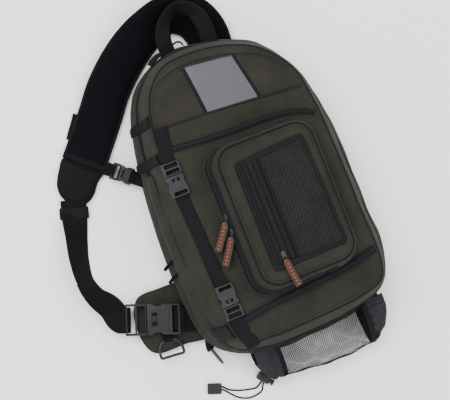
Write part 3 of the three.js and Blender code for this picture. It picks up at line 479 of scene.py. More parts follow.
def tube(name, path, radius, sides=8, closed=False):
    # a round cord or piping through the points of a path
    rings = []
    count = len(path)
    previous = None
    for i, p in enumerate(path):
        ahead = path[(i + 1) % count] if closed or i + 1 < count else p
        behind = path[i - 1] if closed or i else p
        way = (ahead - behind).normalized()
        side = previous if previous else way.orthogonal().normalized()
        side = (side - way * side.dot(way)).normalized()
        up = way.cross(side)
        previous = side
        rings.append([p + side * (radius * math.cos(2 * math.pi * k / sides))
                      + up * (radius * math.sin(2 * math.pi * k / sides)) for k in range(sides)])
    if closed:
        rings.append(rings[0])
    return loft(name, rings, closeEnds=not closed)


def strapBand(name, path, ups, width, profile, capped=True):
    # a strap of the given section (rows of across share, height) swept along the path
    rings, uvs = [], []
    run = 0.0
    for i, p in enumerate(path):
        ahead = path[min(i + 1, len(path) - 1)]
        behind = path[max(i - 1, 0)]
        if i:
            run += (p - path[i - 1]).length / 1000
        way = (ahead - behind).normalized()
        up = (ups[i] - way * ups[i].dot(way)).normalized()
        side = way.cross(up)
        wide = width(i / (len(path) - 1)) if callable(width) else width
        rings.append([p + side * (u * wide / 2) + up * h for u, h in profile])
        uvs += [((u + 1) * wide / 2000, run) for u, h in profile]
    if capped:
        uvs += [(0, 0), (0, run)]
    return loft(name, rings, closeEnds=capped, uvs=uvs)


def flatProfile(thickness, roundness=0.7, crown=0.0, steps=8):
    # a webbing's section, its selvedges rounded
    half = thickness / 2
    top = [(-1 + 2 * k / steps, half) for k in range(steps + 1)]
    out = []
    for u, h in top:
        edge = max(0.0, abs(u) - 0.86) / 0.14
        out.append((u * (1 - 0.0), h * (1 - roundness * edge) + crown * (1 - u * u)))
    back = [(u, -h + 2 * crown * (1 - u * u)) for u, h in reversed(out)]
    return out + back


print("stage: cords")

cordLook = {"radius": 1.25, "height": 1.65, "lockTurn": -51, "endTurn": -21}
lockSpot = Vector((-0.524 * halfWidth, -1.15 * halfLength))
endSpot = Vector((-1 * halfWidth, -1.095 * halfLength))


def turned(x, y, degrees, about):
    a = math.radians(degrees)
    return Vector((x * math.cos(a) - y * math.sin(a) + about[0], x * math.sin(a) + y * math.cos(a) + about[1]))


strands = [
    {"name": "drawcord_upper_strand", "node": "drawcord_upper", "lockAlong": 0.6, "endSide": 2.2, "rows": [
        (-0.626, -1.194), (-0.665, -1.19), (-0.703, -1.184), (-0.742, -1.177), (-0.781, -1.168),
        (-0.819, -1.157), (-0.852, -1.146), (-0.884, -1.131)]},
    {"name": "drawcord_lower_strand", "node": "drawcord_lower", "lockAlong": 5, "endSide": -2.2, "rows": [
        (-0.581, -1.224), (-0.613, -1.234), (-0.652, -1.238), (-0.697, -1.238), (-0.742, -1.232),
        (-0.787, -1.218), (-0.826, -1.2), (-0.858, -1.177), (-0.89, -1.151)]},
]
for strand in strands:
    flat = [turned(strand["lockAlong"], -6.55, cordLook["lockTurn"], lockSpot),
            turned(strand["lockAlong"], -8.55, cordLook["lockTurn"], lockSpot)]
    flat += [Vector((a * halfWidth, b * halfLength)) for a, b in strand["rows"]]
    flat += [turned(12.8, strand["endSide"], cordLook["endTurn"], endSpot),
             turned(10.8, strand["endSide"], cordLook["endTurn"], endSpot)]
    path = smoothPath([(p.x, p.y, cordLook["height"]) for p in flat], 60)
    piece = tube(strand["name"], path, cordLook["radius"], 10)
    settle(piece, piping)
    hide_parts(strand["node"])
    route = [spot(*p) for p in path]

print("stage: body")

# outline corners of the bag's body, as shares of its half width and half length:
# at the widest height first, then at the front panel
outlineRows = [
    (0.0, -1.0, 0.0, -0.885), (0.52, -0.97, 0.5, -0.865), (0.86, -0.88, 0.74, -0.82), (0.99, -0.71, 0.81, -0.72),
    (1.0, -0.34, 0.81, -0.3), (0.99, 0.09, 0.8, 0.09), (0.94, 0.41, 0.77, 0.41), (0.83, 0.64, 0.71, 0.6),
    (0.57, 0.86, 0.48, 0.79), (0.23, 0.96, 0.19, 0.88), (-0.14, 1.0, -0.16, 0.91), (-0.48, 0.95, -0.45, 0.885),
    (-0.74, 0.79, -0.65, 0.75), (-0.86, 0.56, -0.74, 0.54), (-0.93, 0.29, -0.76, 0.31), (-0.98, -0.04, -0.75, -0.08),
    (-0.99, -0.45, -0.735, -0.47), (-0.96, -0.69, -0.72, -0.74), (-0.82, -0.87, -0.65, -0.86),
    (-0.46, -0.98, -0.4, -0.885),
]
bodyDepth = 104
widestHeight = 30


def bodyRing(height, inset, count=220):
    level = min(max((height - widestHeight) / (bodyDepth - widestHeight), 0), 1)
    corners = [((a + (c - a) * level) * halfWidth, (b + (d - b) * level) * halfLength, height)
               for a, b, c, d in outlineRows]
    path = smoothPath(corners, count, closed=True)
    ring = []
    for i, p in enumerate(path):
        way = (path[(i + 1) % count] - path[i - 1]).normalized()
        ring.append(Vector((p.x - way.y * inset, p.y + way.x * inset, height)))
    return ring


def soften(ring, amount, size, seed):
    # pushes a ring's points in and out a little, as slack cloth does
    count = len(ring)
    out = []
    for i, p in enumerate(ring):
        way = (ring[(i + 1) % count] - ring[i - 1]).normalized()
        push = noise.noise(Vector((p.x / size, p.y / size, p.z / size * 1.6 + seed))) * amount
        out.append(Vector((p.x + way.y * push, p.y - way.x * push, p.z)))
    return out


rearLook = {"softness": 2.2, "size": 38, "pipingRadius": 1.7}
# sections of the shell: height, and how far the cloth is drawn in
rearHeights = [(0, 14), (0.3, 9), (1.6, 5), (4.5, 2.2), (9, 0.8), (15, 0.1), (22, -0.6), (30, -0.9), (38, -0.6),
               (44, 0.2), (47.5, 1.2), (49.6, 3.2), (49.9, 6)]
rearRings = [soften(bodyRing(h, inset), rearLook["softness"] * min(1, h / 20), rearLook["size"], 3.1)
             for h, inset in rearHeights]
rearShell = loft("rear_shell", rearRings)
settle(rearShell, olive, stand=["rear_compartment"])

rearZipPath = bodyRing(53.4, 2.2)
zipRows = [(-6.2, -2.4), (-5.6, -0.5), (-2.6, -0.3), (-2.1, 0.7), (-0.5, 0.9), (0, 0.1), (0.5, 0.9), (2.1, 0.7),
           (2.6, -0.3), (5.6, -0.5), (6.2, -2.4)]


def aroundBand(name, ring, rows, material, stand=()):
    # a strip of the given section (height, outward) all round a ring
    count = len(ring)
    rings = []
    for height, out in rows:
        lifted = []
        for i, p in enumerate(ring):
            way = (ring[(i + 1) % count] - ring[i - 1]).normalized()
            lifted.append(Vector((p.x + way.y * out, p.y - way.x * out, p.z + height)))
        rings.append(lifted)
    for height, out in reversed(rows):
        lifted = []
        for i, p in enumerate(ring):
            way = (ring[(i + 1) % count] - ring[i - 1]).normalized()
            lifted.append(Vector((p.x + way.y * (out - 1.4), p.y - way.x * (out - 1.4), p.z + height)))
        rings.append(lifted)
    rings.append(rings[0])
    piece = loft(name, rings, closeEnds=False)
    return settle(piece, material, stand=stand)


aroundBand("rear_zip_tape", rearZipPath, zipRows, tape, stand=["rear_zip"])

backPiping = tube("back_piping", soften(bodyRing(4.2, 1.6), 0.6, 40, 3.1), rearLook["pipingRadius"], 8, True)
settle(backPiping, piping)
rearEdge = tube("rear_edge_piping", soften(bodyRing(48.2, 0.9), 0.8, 38, 3.1), 1.5, 8, True)
settle(rearEdge, oliveDark)

# flap over the rear zip, down the left side: height and how far it stands out
flapRows = [(44.5, 0.2), (45.5, 1.4), (49, 2.6), (53.5, 3.2), (58, 2.9), (61.5, 2.2), (64, 1.4), (64.8, 0.2)]
flapEnds = {"top": 72, "bottom": -208}
flapRings = []
sections = [bodyRing(h, 0, 400) for h, out in flapRows]
for i, middle in enumerate(bodyRing(54, 0, 400)):
    if middle.x > 0 or not flapEnds["bottom"] < middle.y < flapEnds["top"]:
        continue
    taper = min(1, (flapEnds["top"] - middle.y) / 8 + 0.15, (middle.y - flapEnds["bottom"]) / 8 + 0.15)
    section = []
    for ring, (h, out) in zip(sections, flapRows):
        way = (ring[(i + 1) % 400] - ring[i - 1]).normalized()
        wave = 0.5 * noise.noise(Vector((middle.y / 24, h / 12, 2)))
        reach = (out + wave) * taper
        section.append(Vector((ring[i].x + way.y * reach, ring[i].y - way.x * reach, h)))
    flapRings.append(section)
zipCover = fromMesh("rear_zip_cover", [p for r in flapRings for p in r],
                    [(r * 8 + c, r * 8 + c + 1, (r + 1) * 8 + c + 1, (r + 1) * 8 + c)
                     for r in range(len(flapRings) - 1) for c in range(7)])
apply(zipCover, "SOLIDIFY", thickness=0.0014, offset=-1)
outward(zipCover, 0.0000001)
settle(zipCover, olive, smooth=80)

gussetLook = {"softness": 2.0, "size": 34}
gussetHeights = [(56.8, 5), (57.2, 1.6), (59.5, 0.2), (64, -0.4), (70, -0.9), (77, -1.1), (84, -0.9), (91, -0.4),
                 (96, 0.1), (99, 0.6), (101, 1.6), (102, 3.2), (102.2, 6), (102, 12)]
gussetRings = [soften(bodyRing(h, inset), gussetLook["softness"] * min(1, (h - 56) / 12, max(0.1, (104 - h) / 12)),
                      gussetLook["size"], 9.4) for h, inset in gussetHeights]
gussetShell = loft("front_gusset", gussetRings)
settle(gussetShell, olive, stand=["front_compartment", "front_panel"])
frontEdge = tube("gusset_lower_piping", soften(bodyRing(58.4, 0.4), 0.8, 34, 9.4), 1.5, 8, True)
settle(frontEdge, oliveDark)

print("stage: front panels")

faceRing = bodyRing(bodyDepth, 3.2, 240)
faceEdge = [(p.x, p.y) for p in faceRing]


def edgeDistance(x, y):
    best = 1e9
    for (ax, ay), (bx, by) in zip(faceEdge, faceEdge[1:] + faceEdge[:1]):
        dx, dy = bx - ax, by - ay
        t = min(max(((x - ax) * dx + (y - ay) * dy) / (dx * dx + dy * dy), 0), 1)
        best = min(best, (x - ax - t * dx) ** 2 + (y - ay - t * dy) ** 2)
    return math.sqrt(best)


def faceTop(x, y):
    # height of the sewn front: a low crown that rolls over at the edge seam
    d = edgeDistance(x, y)
    return 104.2 + 1.5 * (1 - math.exp(-d / 30)) - 4.6 * math.exp(-d / 3.6)


def crossings(value, axis):
    found = []
    for a, b in zip(faceEdge, faceEdge[1:] + faceEdge[:1]):
        if (a[axis] - value) * (b[axis] - value) <= 0 and a[axis] != b[axis]:
            t = (value - a[axis]) / (b[axis] - a[axis])
            found.append(a[1 - axis] + (b[1 - axis] - a[1 - axis]) * t)
    return (min(found), max(found)) if found else (0, 0)


faceLeftRows = [(y, crossings(y, 1)[0]) for y in range(-200, 206, 4)]
faceRightRows = [(y, crossings(y, 1)[1]) for y in range(-200, 206, 4)]
faceLowRows = [(x, crossings(x, 0)[0]) for x in range(-112, 125, 3)]


def faceLeft(y):
    return along(faceLeftRows, y)


def faceRight(y):
    return along(faceRightRows, y)


# middle lines of the zips and seams across the front, in x and y
upperZip = [(-112, 93.5), (-102, 92.8), (-62, 89.3), (-21.7, 86.5), (40, 86), (77.5, 82.4), (104, 74), (118, 64)]
lowerZip = [(-112, -170), (-99, -168), (-60, -163), (0, -158), (40, -155.4), (77.5, -152), (108.5, -146.2),
            (128, -141)]
topSeam = [(-112, 122.4), (-91, 122), (-34, 120), (41, 115), (105, 110), (122, 107.5)]
innerArc = [(-101, 163), (-95, 174), (-84, 184), (-67, 191.5), (-39, 196), (-4, 194.5), (31, 188), (67, 174),
            (94, 152), (112, 124), (117, 110.5)]
edgeSteps = (0, 0.5, 1.2, 2.4, 4.4, 7.5)


def spread(length, step):
    # shares from 0 to 1 that crowd towards both ends
    ends = [e for e in edgeSteps if e < length * 0.45]
    inner = max(2, int((length - 2 * ends[-1]) / step))
    middle = [ends[-1] + (length - 2 * ends[-1]) * k / inner for k in range(1, inner)]
    return [v / length for v in ends + middle + [length - e for e in reversed(ends)]]


def puff(d, rise, rim):
    return rise * (1 - math.exp(-d / 5.5)) - rim * math.exp(-d / 0.9)


def gridPanel(name, us, vs, where, size, rise=1.5, rim=2.2, material=None, slotName="olive_cloth", stand=(),
              thickness=1.4, lift=0.0, surface=None, ripple=0.5):
    # a stuffed panel of cloth: sunk along its borders, full between them
    points = []
    for v in vs:
        for u in us:
            x, y, height = where(u, v)
            d = min(u * size[0], (1 - u) * size[0], v * height, (1 - v) * height)
            z = (surface or faceTop)(x, y) + lift + puff(d, rise, rim)
            z += ripple * noise.noise(Vector((x / 26, y / 26, 1.7))) * min(1, d / 8)
            points.append((x, y, z))
    wide = len(us)
    faces = [(r * wide + c, r * wide + c + 1, (r + 1) * wide + c + 1, (r + 1) * wide + c)
             for r in range(len(vs) - 1) for c in range(wide - 1)]
    piece = fromMesh(name, points, faces)
    apply(piece, "SOLIDIFY", thickness=thickness / 1000, offset=-1)
    outward(piece, 0.000001)
    return settle(piece, material or olive, stand=stand, smooth=70)


def strip(name, low, high, width=226, height=60, step=5, **more):
    def where(u, v):
        x = -100 + 200 * u
        for _ in range(6):
            y = low(x) + (high(x) - low(x)) * v
            x = faceLeft(y) + 1.2 + (faceRight(y) - faceLeft(y) - 2.4) * u
        return x, y, high(x) - low(x)
    return gridPanel(name, spread(width, step), spread(height, step), where, (width, height), **more)


arcPath = smoothPath([(x, y, 0) for x, y in innerArc], 90)


def nearestOut(p, way):
    # the face's edge straight out from a point of the inner arc
    best, spotOut = 1e9, p
    for a, b in zip(faceEdge, faceEdge[1:] + faceEdge[:1]):
        e = (b[0] - a[0], b[1] - a[1])
        cross = way[0] * e[1] - way[1] * e[0]
        if abs(cross) < 1e-9:
            continue
        t = ((a[0] - p.x) * e[1] - (a[1] - p.y) * e[0]) / cross
        s = ((a[0] - p.x) * way[1] - (a[1] - p.y) * way[0]) / cross
        if t > -1 and 0 <= s <= 1 and t < best:
            best, spotOut = t, Vector((p.x + way[0] * t, p.y + way[1] * t, 0))
    return spotOut


def crescent(u, v):
    k = min(int(u * 90), 89)
    p = arcPath[k].lerp(arcPath[k + 1], u * 90 - k)
    way = (arcPath[min(k + 2, 90)] - arcPath[max(k - 1, 0)]).normalized()
    outer = nearestOut(p, (-way.y, way.x))
    outer = p + (outer - p) * 0.985
    point = p.lerp(outer, v)
    return point.x, point.y, (outer - p).length


gridPanel("name_band", spread(290, 4), spread(12, 1.6), crescent, (290, 12), rise=1.2)


def arcHeight(x):
    return along([(p.x, p.y) for p in arcPath], x)


def seamHeight(x):
    return along(topSeam, x)


def upperZipAt(x):
    return along(upperZip, x)


def lowerZipAt(x):
    return along(lowerZip, x)


def topPanelPlace(u, v):
    x = -100 + 214 * u
    for _ in range(6):
        low, high = seamHeight(x), max(arcHeight(x), seamHeight(x) + 0.4)
        y = low + (high - low) * v
        left = max(faceLeft(y) + 1.2, -109) if y < 163 else -101 + (y - 163) * 0.6
        x = left + (115.5 - left) * u
    return x, y, high - low


gridPanel("top_panel", spread(220, 4.5), spread(72, 4), topPanelPlace, (220, 72), rise=1.8)
strip("zip_flap_panel", lambda x: upperZipAt(x) + 3.2, seamHeight, height=24, step=5, rise=2.2,
      rim=1.0, lift=0.9, stand=["zip_flap"])
strip("middle_panel", lambda x: lowerZipAt(x) + 4.6, lambda x: upperZipAt(x) - 4.4, height=226, step=5, rise=1.8,
      rim=1.2, ripple=1.1)
strip("lower_panel", lambda x: along(faceLowRows, x) + 1.4, lambda x: lowerZipAt(x) - 4.6, height=34, step=5,
      rise=2.4, rim=1.2)


def faceStrap(name, points, width, profile, material, lift=1.0, steps=60, stand=()):
    flat = smoothPath([(x, y, 0) for x, y in points], steps)
    path = [Vector((p.x, p.y, faceTop(p.x, p.y) + lift)) for p in flat]
    ups = [Vector((0, 0, 1))] * len(path)
    piece = strapBand(name, path, ups, width, profile)
    return settle(piece, material, stand=stand)


# zips: two tapes, each with a rolled edge, that meet over the coil
zipProfile = [(-1, -1.2), (-0.98, 0.2), (-0.8, 0.55), (-0.36, 0.6), (-0.3, 1.0), (-0.06, 1.05), (0, 0.35),
              (0.06, 1.05), (0.3, 1.0), (0.36, 0.6), (0.8, 0.55), (0.98, 0.2), (1, -1.2), (0, -1.4)]
faceStrap("upper_zip_tape", upperZip[1:-1] + [(113, 69)], 13, zipProfile, tape, 0.4,
          stand=["upper_zip"])
faceStrap("lower_zip_tape", lowerZip[1:-1] + [(122, -142.5)], 13, zipProfile, tape,
          0.4, stand=["lower_zip"])

edgePiping = tube("face_piping", [Vector((p.x, p.y, 101.3)) for p in bodyRing(102, 2.0, 240)], 1.3, 8, True)
settle(edgePiping, piping)

# reflective patch with a narrow binding at each side
patchCorners = [(-32.5, 123), (43.4, 118.3), (29.5, 186.5), (-40.3, 193)]


def quadPlace(corners):
    def where(u, v):
        (ax, ay), (bx, by), (cx, cy), (dx, dy) = corners
        x = (ax * (1 - u) + bx * u) * (1 - v) + (dx * (1 - u) + cx * u) * v
        y = (ay * (1 - u) + by * u) * (1 - v) + (dy * (1 - u) + cy * u) * v
        return x, y, 70
    return where


def topSurface(x, y):
    high, low = arcHeight(x), seamHeight(x)
    d = max(0.0, min(high - y, y - low))
    return faceTop(x, y) + puff(d, 1.8, 2.2) + 0.5 * noise.noise(Vector((x / 26, y / 26, 1.7))) * min(1, d / 8)


gridPanel("reflective_panel", spread(76, 5), spread(70, 5), quadPlace(patchCorners), (76, 70), rise=0.2, rim=0.1,
          material=reflective, slotName="reflective", stand=["reflective_patch"], thickness=0.8, lift=0.9,
          surface=topSurface, ripple=0)
for name, low, high in (("patch_binding_left", (-34.5, 123), (-42.3, 193)),
                        ("patch_binding_right", (45.4, 118.3), (31.5, 186.5))):
    path = [Vector((p.x, p.y, topSurface(p.x, p.y) + 0.8)) for p in smoothPath([(*low, 0), (*high, 0)], 20)]
    piece = strapBand(name, path, [Vector((0, 0, 1))] * 21, 4.6, flatProfile(1.2))
    settle(piece, piping)

print("stage: pocket")

pocket = {"x": 9.3, "y": -40.6, "width": 168, "length": 218, "base": 104.3, "depth": 34, "corner": 30, "taper": 20,
          "low": 8}


def pocketRing(height, inset, count=24):
    # rounded outline of the pocket: down its left wall, then round by the right
    rise = min(max((height - pocket["base"]) / pocket["depth"], 0), 1)
    left = pocket["x"] - pocket["width"] / 2 + pocket["taper"] * rise + inset
    right = pocket["x"] + pocket["width"] / 2 - inset
    low = pocket["y"] - pocket["length"] / 2 + pocket["low"] * rise + inset
    high = pocket["y"] + pocket["length"] / 2 - inset
    r = max(pocket["corner"] - inset, 3)
    corners = [(left, high, 90), (left, low, 180), (right, low, 270), (right, high, 0)]
    ring = []
    for k, (x, y, start) in enumerate(corners):
        cx = x + r if k < 2 else x - r
        cy = y - r if k in (0, 3) else y + r
        for j in range(13):
            a = math.radians(start + 90 * j / 12)
            ring.append(Vector((cx + r * math.cos(a), cy + r * math.sin(a), height)))
        nx, ny, nextStart = corners[(k + 1) % 4]
        first = ring[-1]
        ncx = nx + r if (k + 1) % 4 < 2 else nx - r
        ncy = ny - r if (k + 1) % 4 in (0, 3) else ny + r
        a = math.radians(nextStart)
        last = Vector((ncx + r * math.cos(a), ncy + r * math.sin(a), height))
        ring += [first.lerp(last, j / count) for j in range(1, count)]
    return ring


def softPocket(ring, amount, seed):
    out = []
    for i, p in enumerate(ring):
        way = (ring[(i + 1) % len(ring)] - ring[i - 1]).normalized()
        push = noise.noise(Vector((p.x / 30, p.y / 30, p.z / 16 + seed))) * amount
        out.append(Vector((p.x + way.y * push, p.y - way.x * push, p.z)))
    return out


# the pocket's wall and face: height, and how far inside the outline
pocketWall = [(103.2, 2.0), (104.6, -1.6), (105.6, -1.8), (107, -0.2), (110, -0.8), (114, -1.2), (118, -1.0),
              (124, -1.2), (129, -1.1), (132.5, -0.6), (135, 0.2), (136.6, 1.4), (137.2, 3.0), (136.9, 4.2),
              (138.0, 5.6), (139.0, 8.5), (139.2, 12), (138.6, 17), (138.2, 22)]
pocketRings = [softPocket(pocketRing(h, inset), 1.3 * min(1, max(0, 137 - h) / 12 + 0.12), 5.5)
               for h, inset in pocketWall]
inner = pocketRings[-1]
middle = sum(inner, Vector()) / len(inner)
pocketRings += [[middle.lerp(p, share) for p in inner] for share in (0.8, 0.55, 0.3, 0.12)]
pocketPiece = loft("pocket_body", pocketRings)
settle(pocketPiece, olive, stand=["pocket_shell", "pocket_face"])
pocketPiping = tube("pocket_piping", softPocket(pocketRing(137.0, 3.4), 0.2, 5.5), 1.5, 8, True)
settle(pocketPiping, piping)
pocketHem = tube("pocket_base_welt", pocketRing(105.2, -1.0), 1.5, 8, True)
settle(pocketHem, oliveDark)


def wallBand(name, heightAt, start, stop, rows, material, stand=()):
    # a strip of rows (height, outward) along the wall
    ring = pocketRing(124, 0)
    count = len(ring)
    indices = range(int(start * count), int(stop * count) + 1)
    rings = []
    for n, i in enumerate(indices):
        middleHeight = heightAt(n / (len(indices) - 1))
        section = []
        for up, out in rows:
            base = pocketRing(middleHeight + up, 0)
            way = (base[(i + 1) % count] - base[i - 1]).normalized()
            p = base[i % count]
            section.append(Vector((p.x + way.y * out, p.y - way.x * out, middleHeight + up)))
        rings.append(section)
    return settle(loft(name, rings), material, stand=stand)


wallStart, wallStop = 0.02, 0.475
zipHeight = 123.6
wallRows = [(-6.4, 0.2), (-6.2, 1.9), (-5, 2.4), (-2.6, 2.4), (-2.2, 3.2), (-0.6, 3.2), (0, 2.3), (0.6, 3.2),
            (2.2, 3.2), (2.6, 2.4), (5, 2.4), (6.2, 1.9), (6.4, 0.2)]
wallBand("pocket_zip_tape", lambda t: zipHeight, wallStart, wallStop, wallRows, tape,
         stand=["pocket_zip"])


def teeth(name, path, ups, pitch, size, material):
    # zip coil: small cross bars set side by side along a path
    points, faces = [], []
    run, nextAt = 0.0, pitch / 2
    for a, b, up in zip(path, path[1:], ups):
        step = (b - a).length
        while nextAt <= run + step:
            p = a.lerp(b, (nextAt - run) / max(step, 1e-6))
            way = (b - a).normalized()
            lift = (up - way * up.dot(way)).normalized()
            side = way.cross(lift)
            first = len(points)
            for du, dv, dw in ((-1, -1, 0), (1, -1, 0), (1, 1, 0), (-1, 1, 0), (-0.7, -0.7, 1), (0.7, -0.7, 1),
                               (0.7, 0.7, 1), (-0.7, 0.7, 1)):
                points.append(p + side * (du * size[0] / 2) + way * (dv * size[1] / 2) + lift * (dw * size[2]))
            faces += [tuple(first + k for k in f) for f in ((3, 2, 1, 0), (4, 5, 6, 7), (0, 1, 5, 4), (1, 2, 6, 5),
                                                            (2, 3, 7, 6), (3, 0, 4, 7))]
            nextAt += pitch
        run += step
    return settle(fromMesh(name, points, faces), material, smooth=0)


ringAtZip = pocketRing(zipHeight, 0)
count = len(ringAtZip)
zipSpan = [i % count for i in range(int(wallStart * count), int(wallStop * count) + 1)]
outAt = []
for i in zipSpan:
    way = (ringAtZip[(i + 1) % count] - ringAtZip[i - 1]).normalized()
    outAt.append(Vector((way.y, -way.x, 0)))
coilPath = [ringAtZip[i] + out * 2.6 for i, out in zip(zipSpan, outAt)]
teeth("pocket_zip_coil", coilPath, outAt, 1.5, (3.2, 0.9, 1.0), coil)
for name, points, height in (("upper_zip_coil", upperZip[1:-1] + [(113, 69)], 1.0),
                             ("lower_zip_coil", lowerZip[1:-1] + [(122, -142.5)], 1.0)):
    flat = smoothPath([(x, y, 0) for x, y in points], 160)
    path = [Vector((p.x, p.y, faceTop(p.x, p.y) + height)) for p in flat]
    teeth(name, path, [Vector((0, 0, 1))] * len(path), 1.6, (2.6, 0.9, 0.8), coil)
rearCoil = [Vector((p.x, p.y, p.z)) for p in bodyRing(53.4, 2.0, 400)]
rearOut = []
for i in range(400):
    way = (rearCoil[(i + 1) % 400] - rearCoil[i - 1]).normalized()
    rearOut.append(Vector((way.y, -way.x, 0)))
teeth("rear_zip_coil", rearCoil, rearOut, 1.8, (2.8, 1.0, 0.9), coil)

# dark rounded tab over the pocket zip's right end
wallBand("zip_end_tab", lambda t: zipHeight, 0.462, 0.492, [(-9, 0.4), (-8, 3.6), (0, 4.6), (8, 3.6), (9, 0.4)],
         piping)


def quadRing(corners, radius, inset, perSide=14, arc=6):
    # a quadrilateral with rounded corners, drawn in by inset, corners given anticlockwise
    count = len(corners)
    lines = []
    for k in range(count):
        a, b = Vector(corners[k]), Vector(corners[(k + 1) % count])
        way = (b - a).normalized()
        normal = Vector((-way.y, way.x))
        lines.append((a + normal * inset, way))
    points = []
    for k in range(count):
        (a, u), (b, v) = lines[k - 1], lines[k]
        cross = u.x * v.y - u.y * v.x
        t = ((b.x - a.x) * v.y - (b.y - a.y) * v.x) / cross
        points.append(a + u * t)
    ring = []
    for k in range(count):
        p, q, r = points[k - 1], points[k], points[(k + 1) % count]
        u, v = (p - q).normalized(), (r - q).normalized()
        rad = max(radius - inset, 0.8)
        reach = rad / math.tan(math.acos(max(-1, min(1, u.dot(v)))) / 2)
        start, stop = q + u * reach, q + v * reach
        for j in range(arc + 1):
            t = j / arc
            ring.append(start * (1 - t) ** 2 + q * (2 * t * (1 - t)) + stop * t ** 2)
        nextStart = r + (q - r).normalized() * reach
        ring += [stop.lerp(nextStart, j / perSide) for j in range(1, perSide)]
    return ring


frameCorners = [(-32.6, -120.6), (81.4, -118.3), (76, 48.7), (-31.8, 41.3)]
innerCorners = [(-26.4, -110.6), (75.2, -112.4), (70.1, 39.4), (-26.4, 33.6)]
outerRing, innerRing = quadRing(frameCorners, 9, 0), quadRing(innerCorners, 4, 0)
frameRows = [(0, 137.6), (0.02, 139.4), (0.12, 140.2), (0.3, 140.0), (0.5, 140.3), (0.7, 140.0), (0.88, 140.2),
             (0.98, 139.4), (1.0, 137.6)]
framePiece = loft("window_frame", [[Vector((*a.lerp(b, t), z)) for a, b in zip(outerRing, innerRing)]
                                   for t, z in frameRows] + [[Vector((*a, 137.4)) for a in outerRing]],
                  closeEnds=False)
settle(framePiece, tape, stand=["pocket_frame"])

windowCorners = [(7.75, -111.4), (75.2, -112.5), (70.1, 39.4), (5.4, 37.1)]
# a near-black sheet under the window net: painted shade for the dark inside of the pocket seen through the holes
backRing = quadRing(windowCorners, 2, -3)
paintedShadeSheet = loft("window_painted_shade", [[Vector((*p, z)) for p in backRing] for z in (138.2, 138.6)])
settle(paintedShadeSheet, windowPaintedShade)


def insideSpans(origin, way, corners):
    # where a line runs inside a quadrilateral
    cuts = []
    for k in range(len(corners)):
        a, b = Vector(corners[k]), Vector(corners[(k + 1) % len(corners)])
        e = b - a
        cross = way.x * e.y - way.y * e.x
        if abs(cross) < 1e-9:
            continue
        t = ((a.x - origin.x) * e.y - (a.y - origin.y) * e.x) / cross
        s = ((a.x - origin.x) * way.y - (a.y - origin.y) * way.x) / cross
        if 0 <= s <= 1:
            cuts.append(t)
    return (min(cuts), max(cuts)) if len(cuts) > 1 else None


netLook = {"pitch": 3.3, "width": 1.0, "height": 138.75, "lean": 33}
points, faces = [], []
for sign in (1, -1):
    angle = math.radians(90 - sign * netLook["lean"])
    way = Vector((math.cos(angle), math.sin(angle)))
    across = Vector((-way.y, way.x))
    for k in range(-70, 71):
        origin = Vector((38, -37)) + across * (k * netLook["pitch"])
        span = insideSpans(origin, way, windowCorners)
        if not span or span[1] - span[0] < 2:
            continue
        z = netLook["height"] + 0.25 * sign
        first = len(points)
        for t in span:
            p = origin + way * t
            for side, up in ((-1, -0.3), (-0.6, 0.35), (0.6, 0.35), (1, -0.3)):
                q = p + across * (side * netLook["width"] / 2)
                points.append((q.x, q.y, z + up))
        faces += [(first, first + 4, first + 5, first + 1), (first + 1, first + 5, first + 6, first + 2),
                  (first + 2, first + 6, first + 7, first + 3), (first + 3, first + 7, first + 4, first),
                  (first, first + 1, first + 2, first + 3), (first + 7, first + 6, first + 5, first + 4)]
windowNet = fromMesh("window_net", points, faces)
outward(windowNet, 0.0000001)
settle(windowNet, meshThread, stand=["pocket_mesh"], smooth=0)

zipPanel = [(-26.6, -111), (7.0, -110.5), (4.6, 36.6), (-26.6, 34)]
zipPanelHeight = 138.7


def zipPanelPlace(u, v):
    (ax, ay), (bx, by), (cx, cy), (dx, dy) = zipPanel
    return (ax * (1 - v) + dx * v) + ((bx * (1 - v) + cx * v) - (ax * (1 - v) + dx * v)) * u, \
        (ay * (1 - v) + dy * v) + ((by * (1 - v) + cy * v) - (ay * (1 - v) + dy * v)) * u, 146


gridPanel("window_zip_ground", [k / 10 for k in range(11)], [k / 24 for k in range(25)],
          zipPanelPlace, (33, 146), rise=0.2, rim=0.1, material=tape, slotName="zip_tape",
          stand=["window_zip"], thickness=1.0, surface=lambda x, y: zipPanelHeight, ripple=0.2)
for name, share, width in (("window_zip_fold_left", 0.26, 6.2), ("window_zip_fold_right", 0.76, 7.4)):
    path = [Vector((*zipPanelPlace(share, v / 30)[:2], 139.7 + 0.15 * noise.noise(Vector((v, 1, share)))))
            for v in range(31)]
    settle(strapBand(name, path, [Vector((0, 0, 1))] * 31, width, flatProfile(1.6, 0.9, 0.5)), tape)
path = [Vector((*zipPanelPlace(0.51, v / 60)[:2], 139.6)) for v in range(61)]
settle(strapBand("window_zip_tapes", path, [Vector((0, 0, 1))] * 61, 8.4, flatProfile(1.0)), tape)
teeth("window_zip_coil", [p + Vector((0, 0, 0.4)) for p in path], [Vector((0, 0, 1))] * 61, 1.5, (3.0, 0.9, 0.9),
      coil)
path = [Vector((*zipPanelPlace(0.99, v / 30)[:2], 139.4)) for v in range(31)]
settle(strapBand("window_edge_binding", path, [Vector((0, 0, 1))] * 31, 4.6, flatProfile(1.6, 0.9)), piping)

print("stage: stitching")


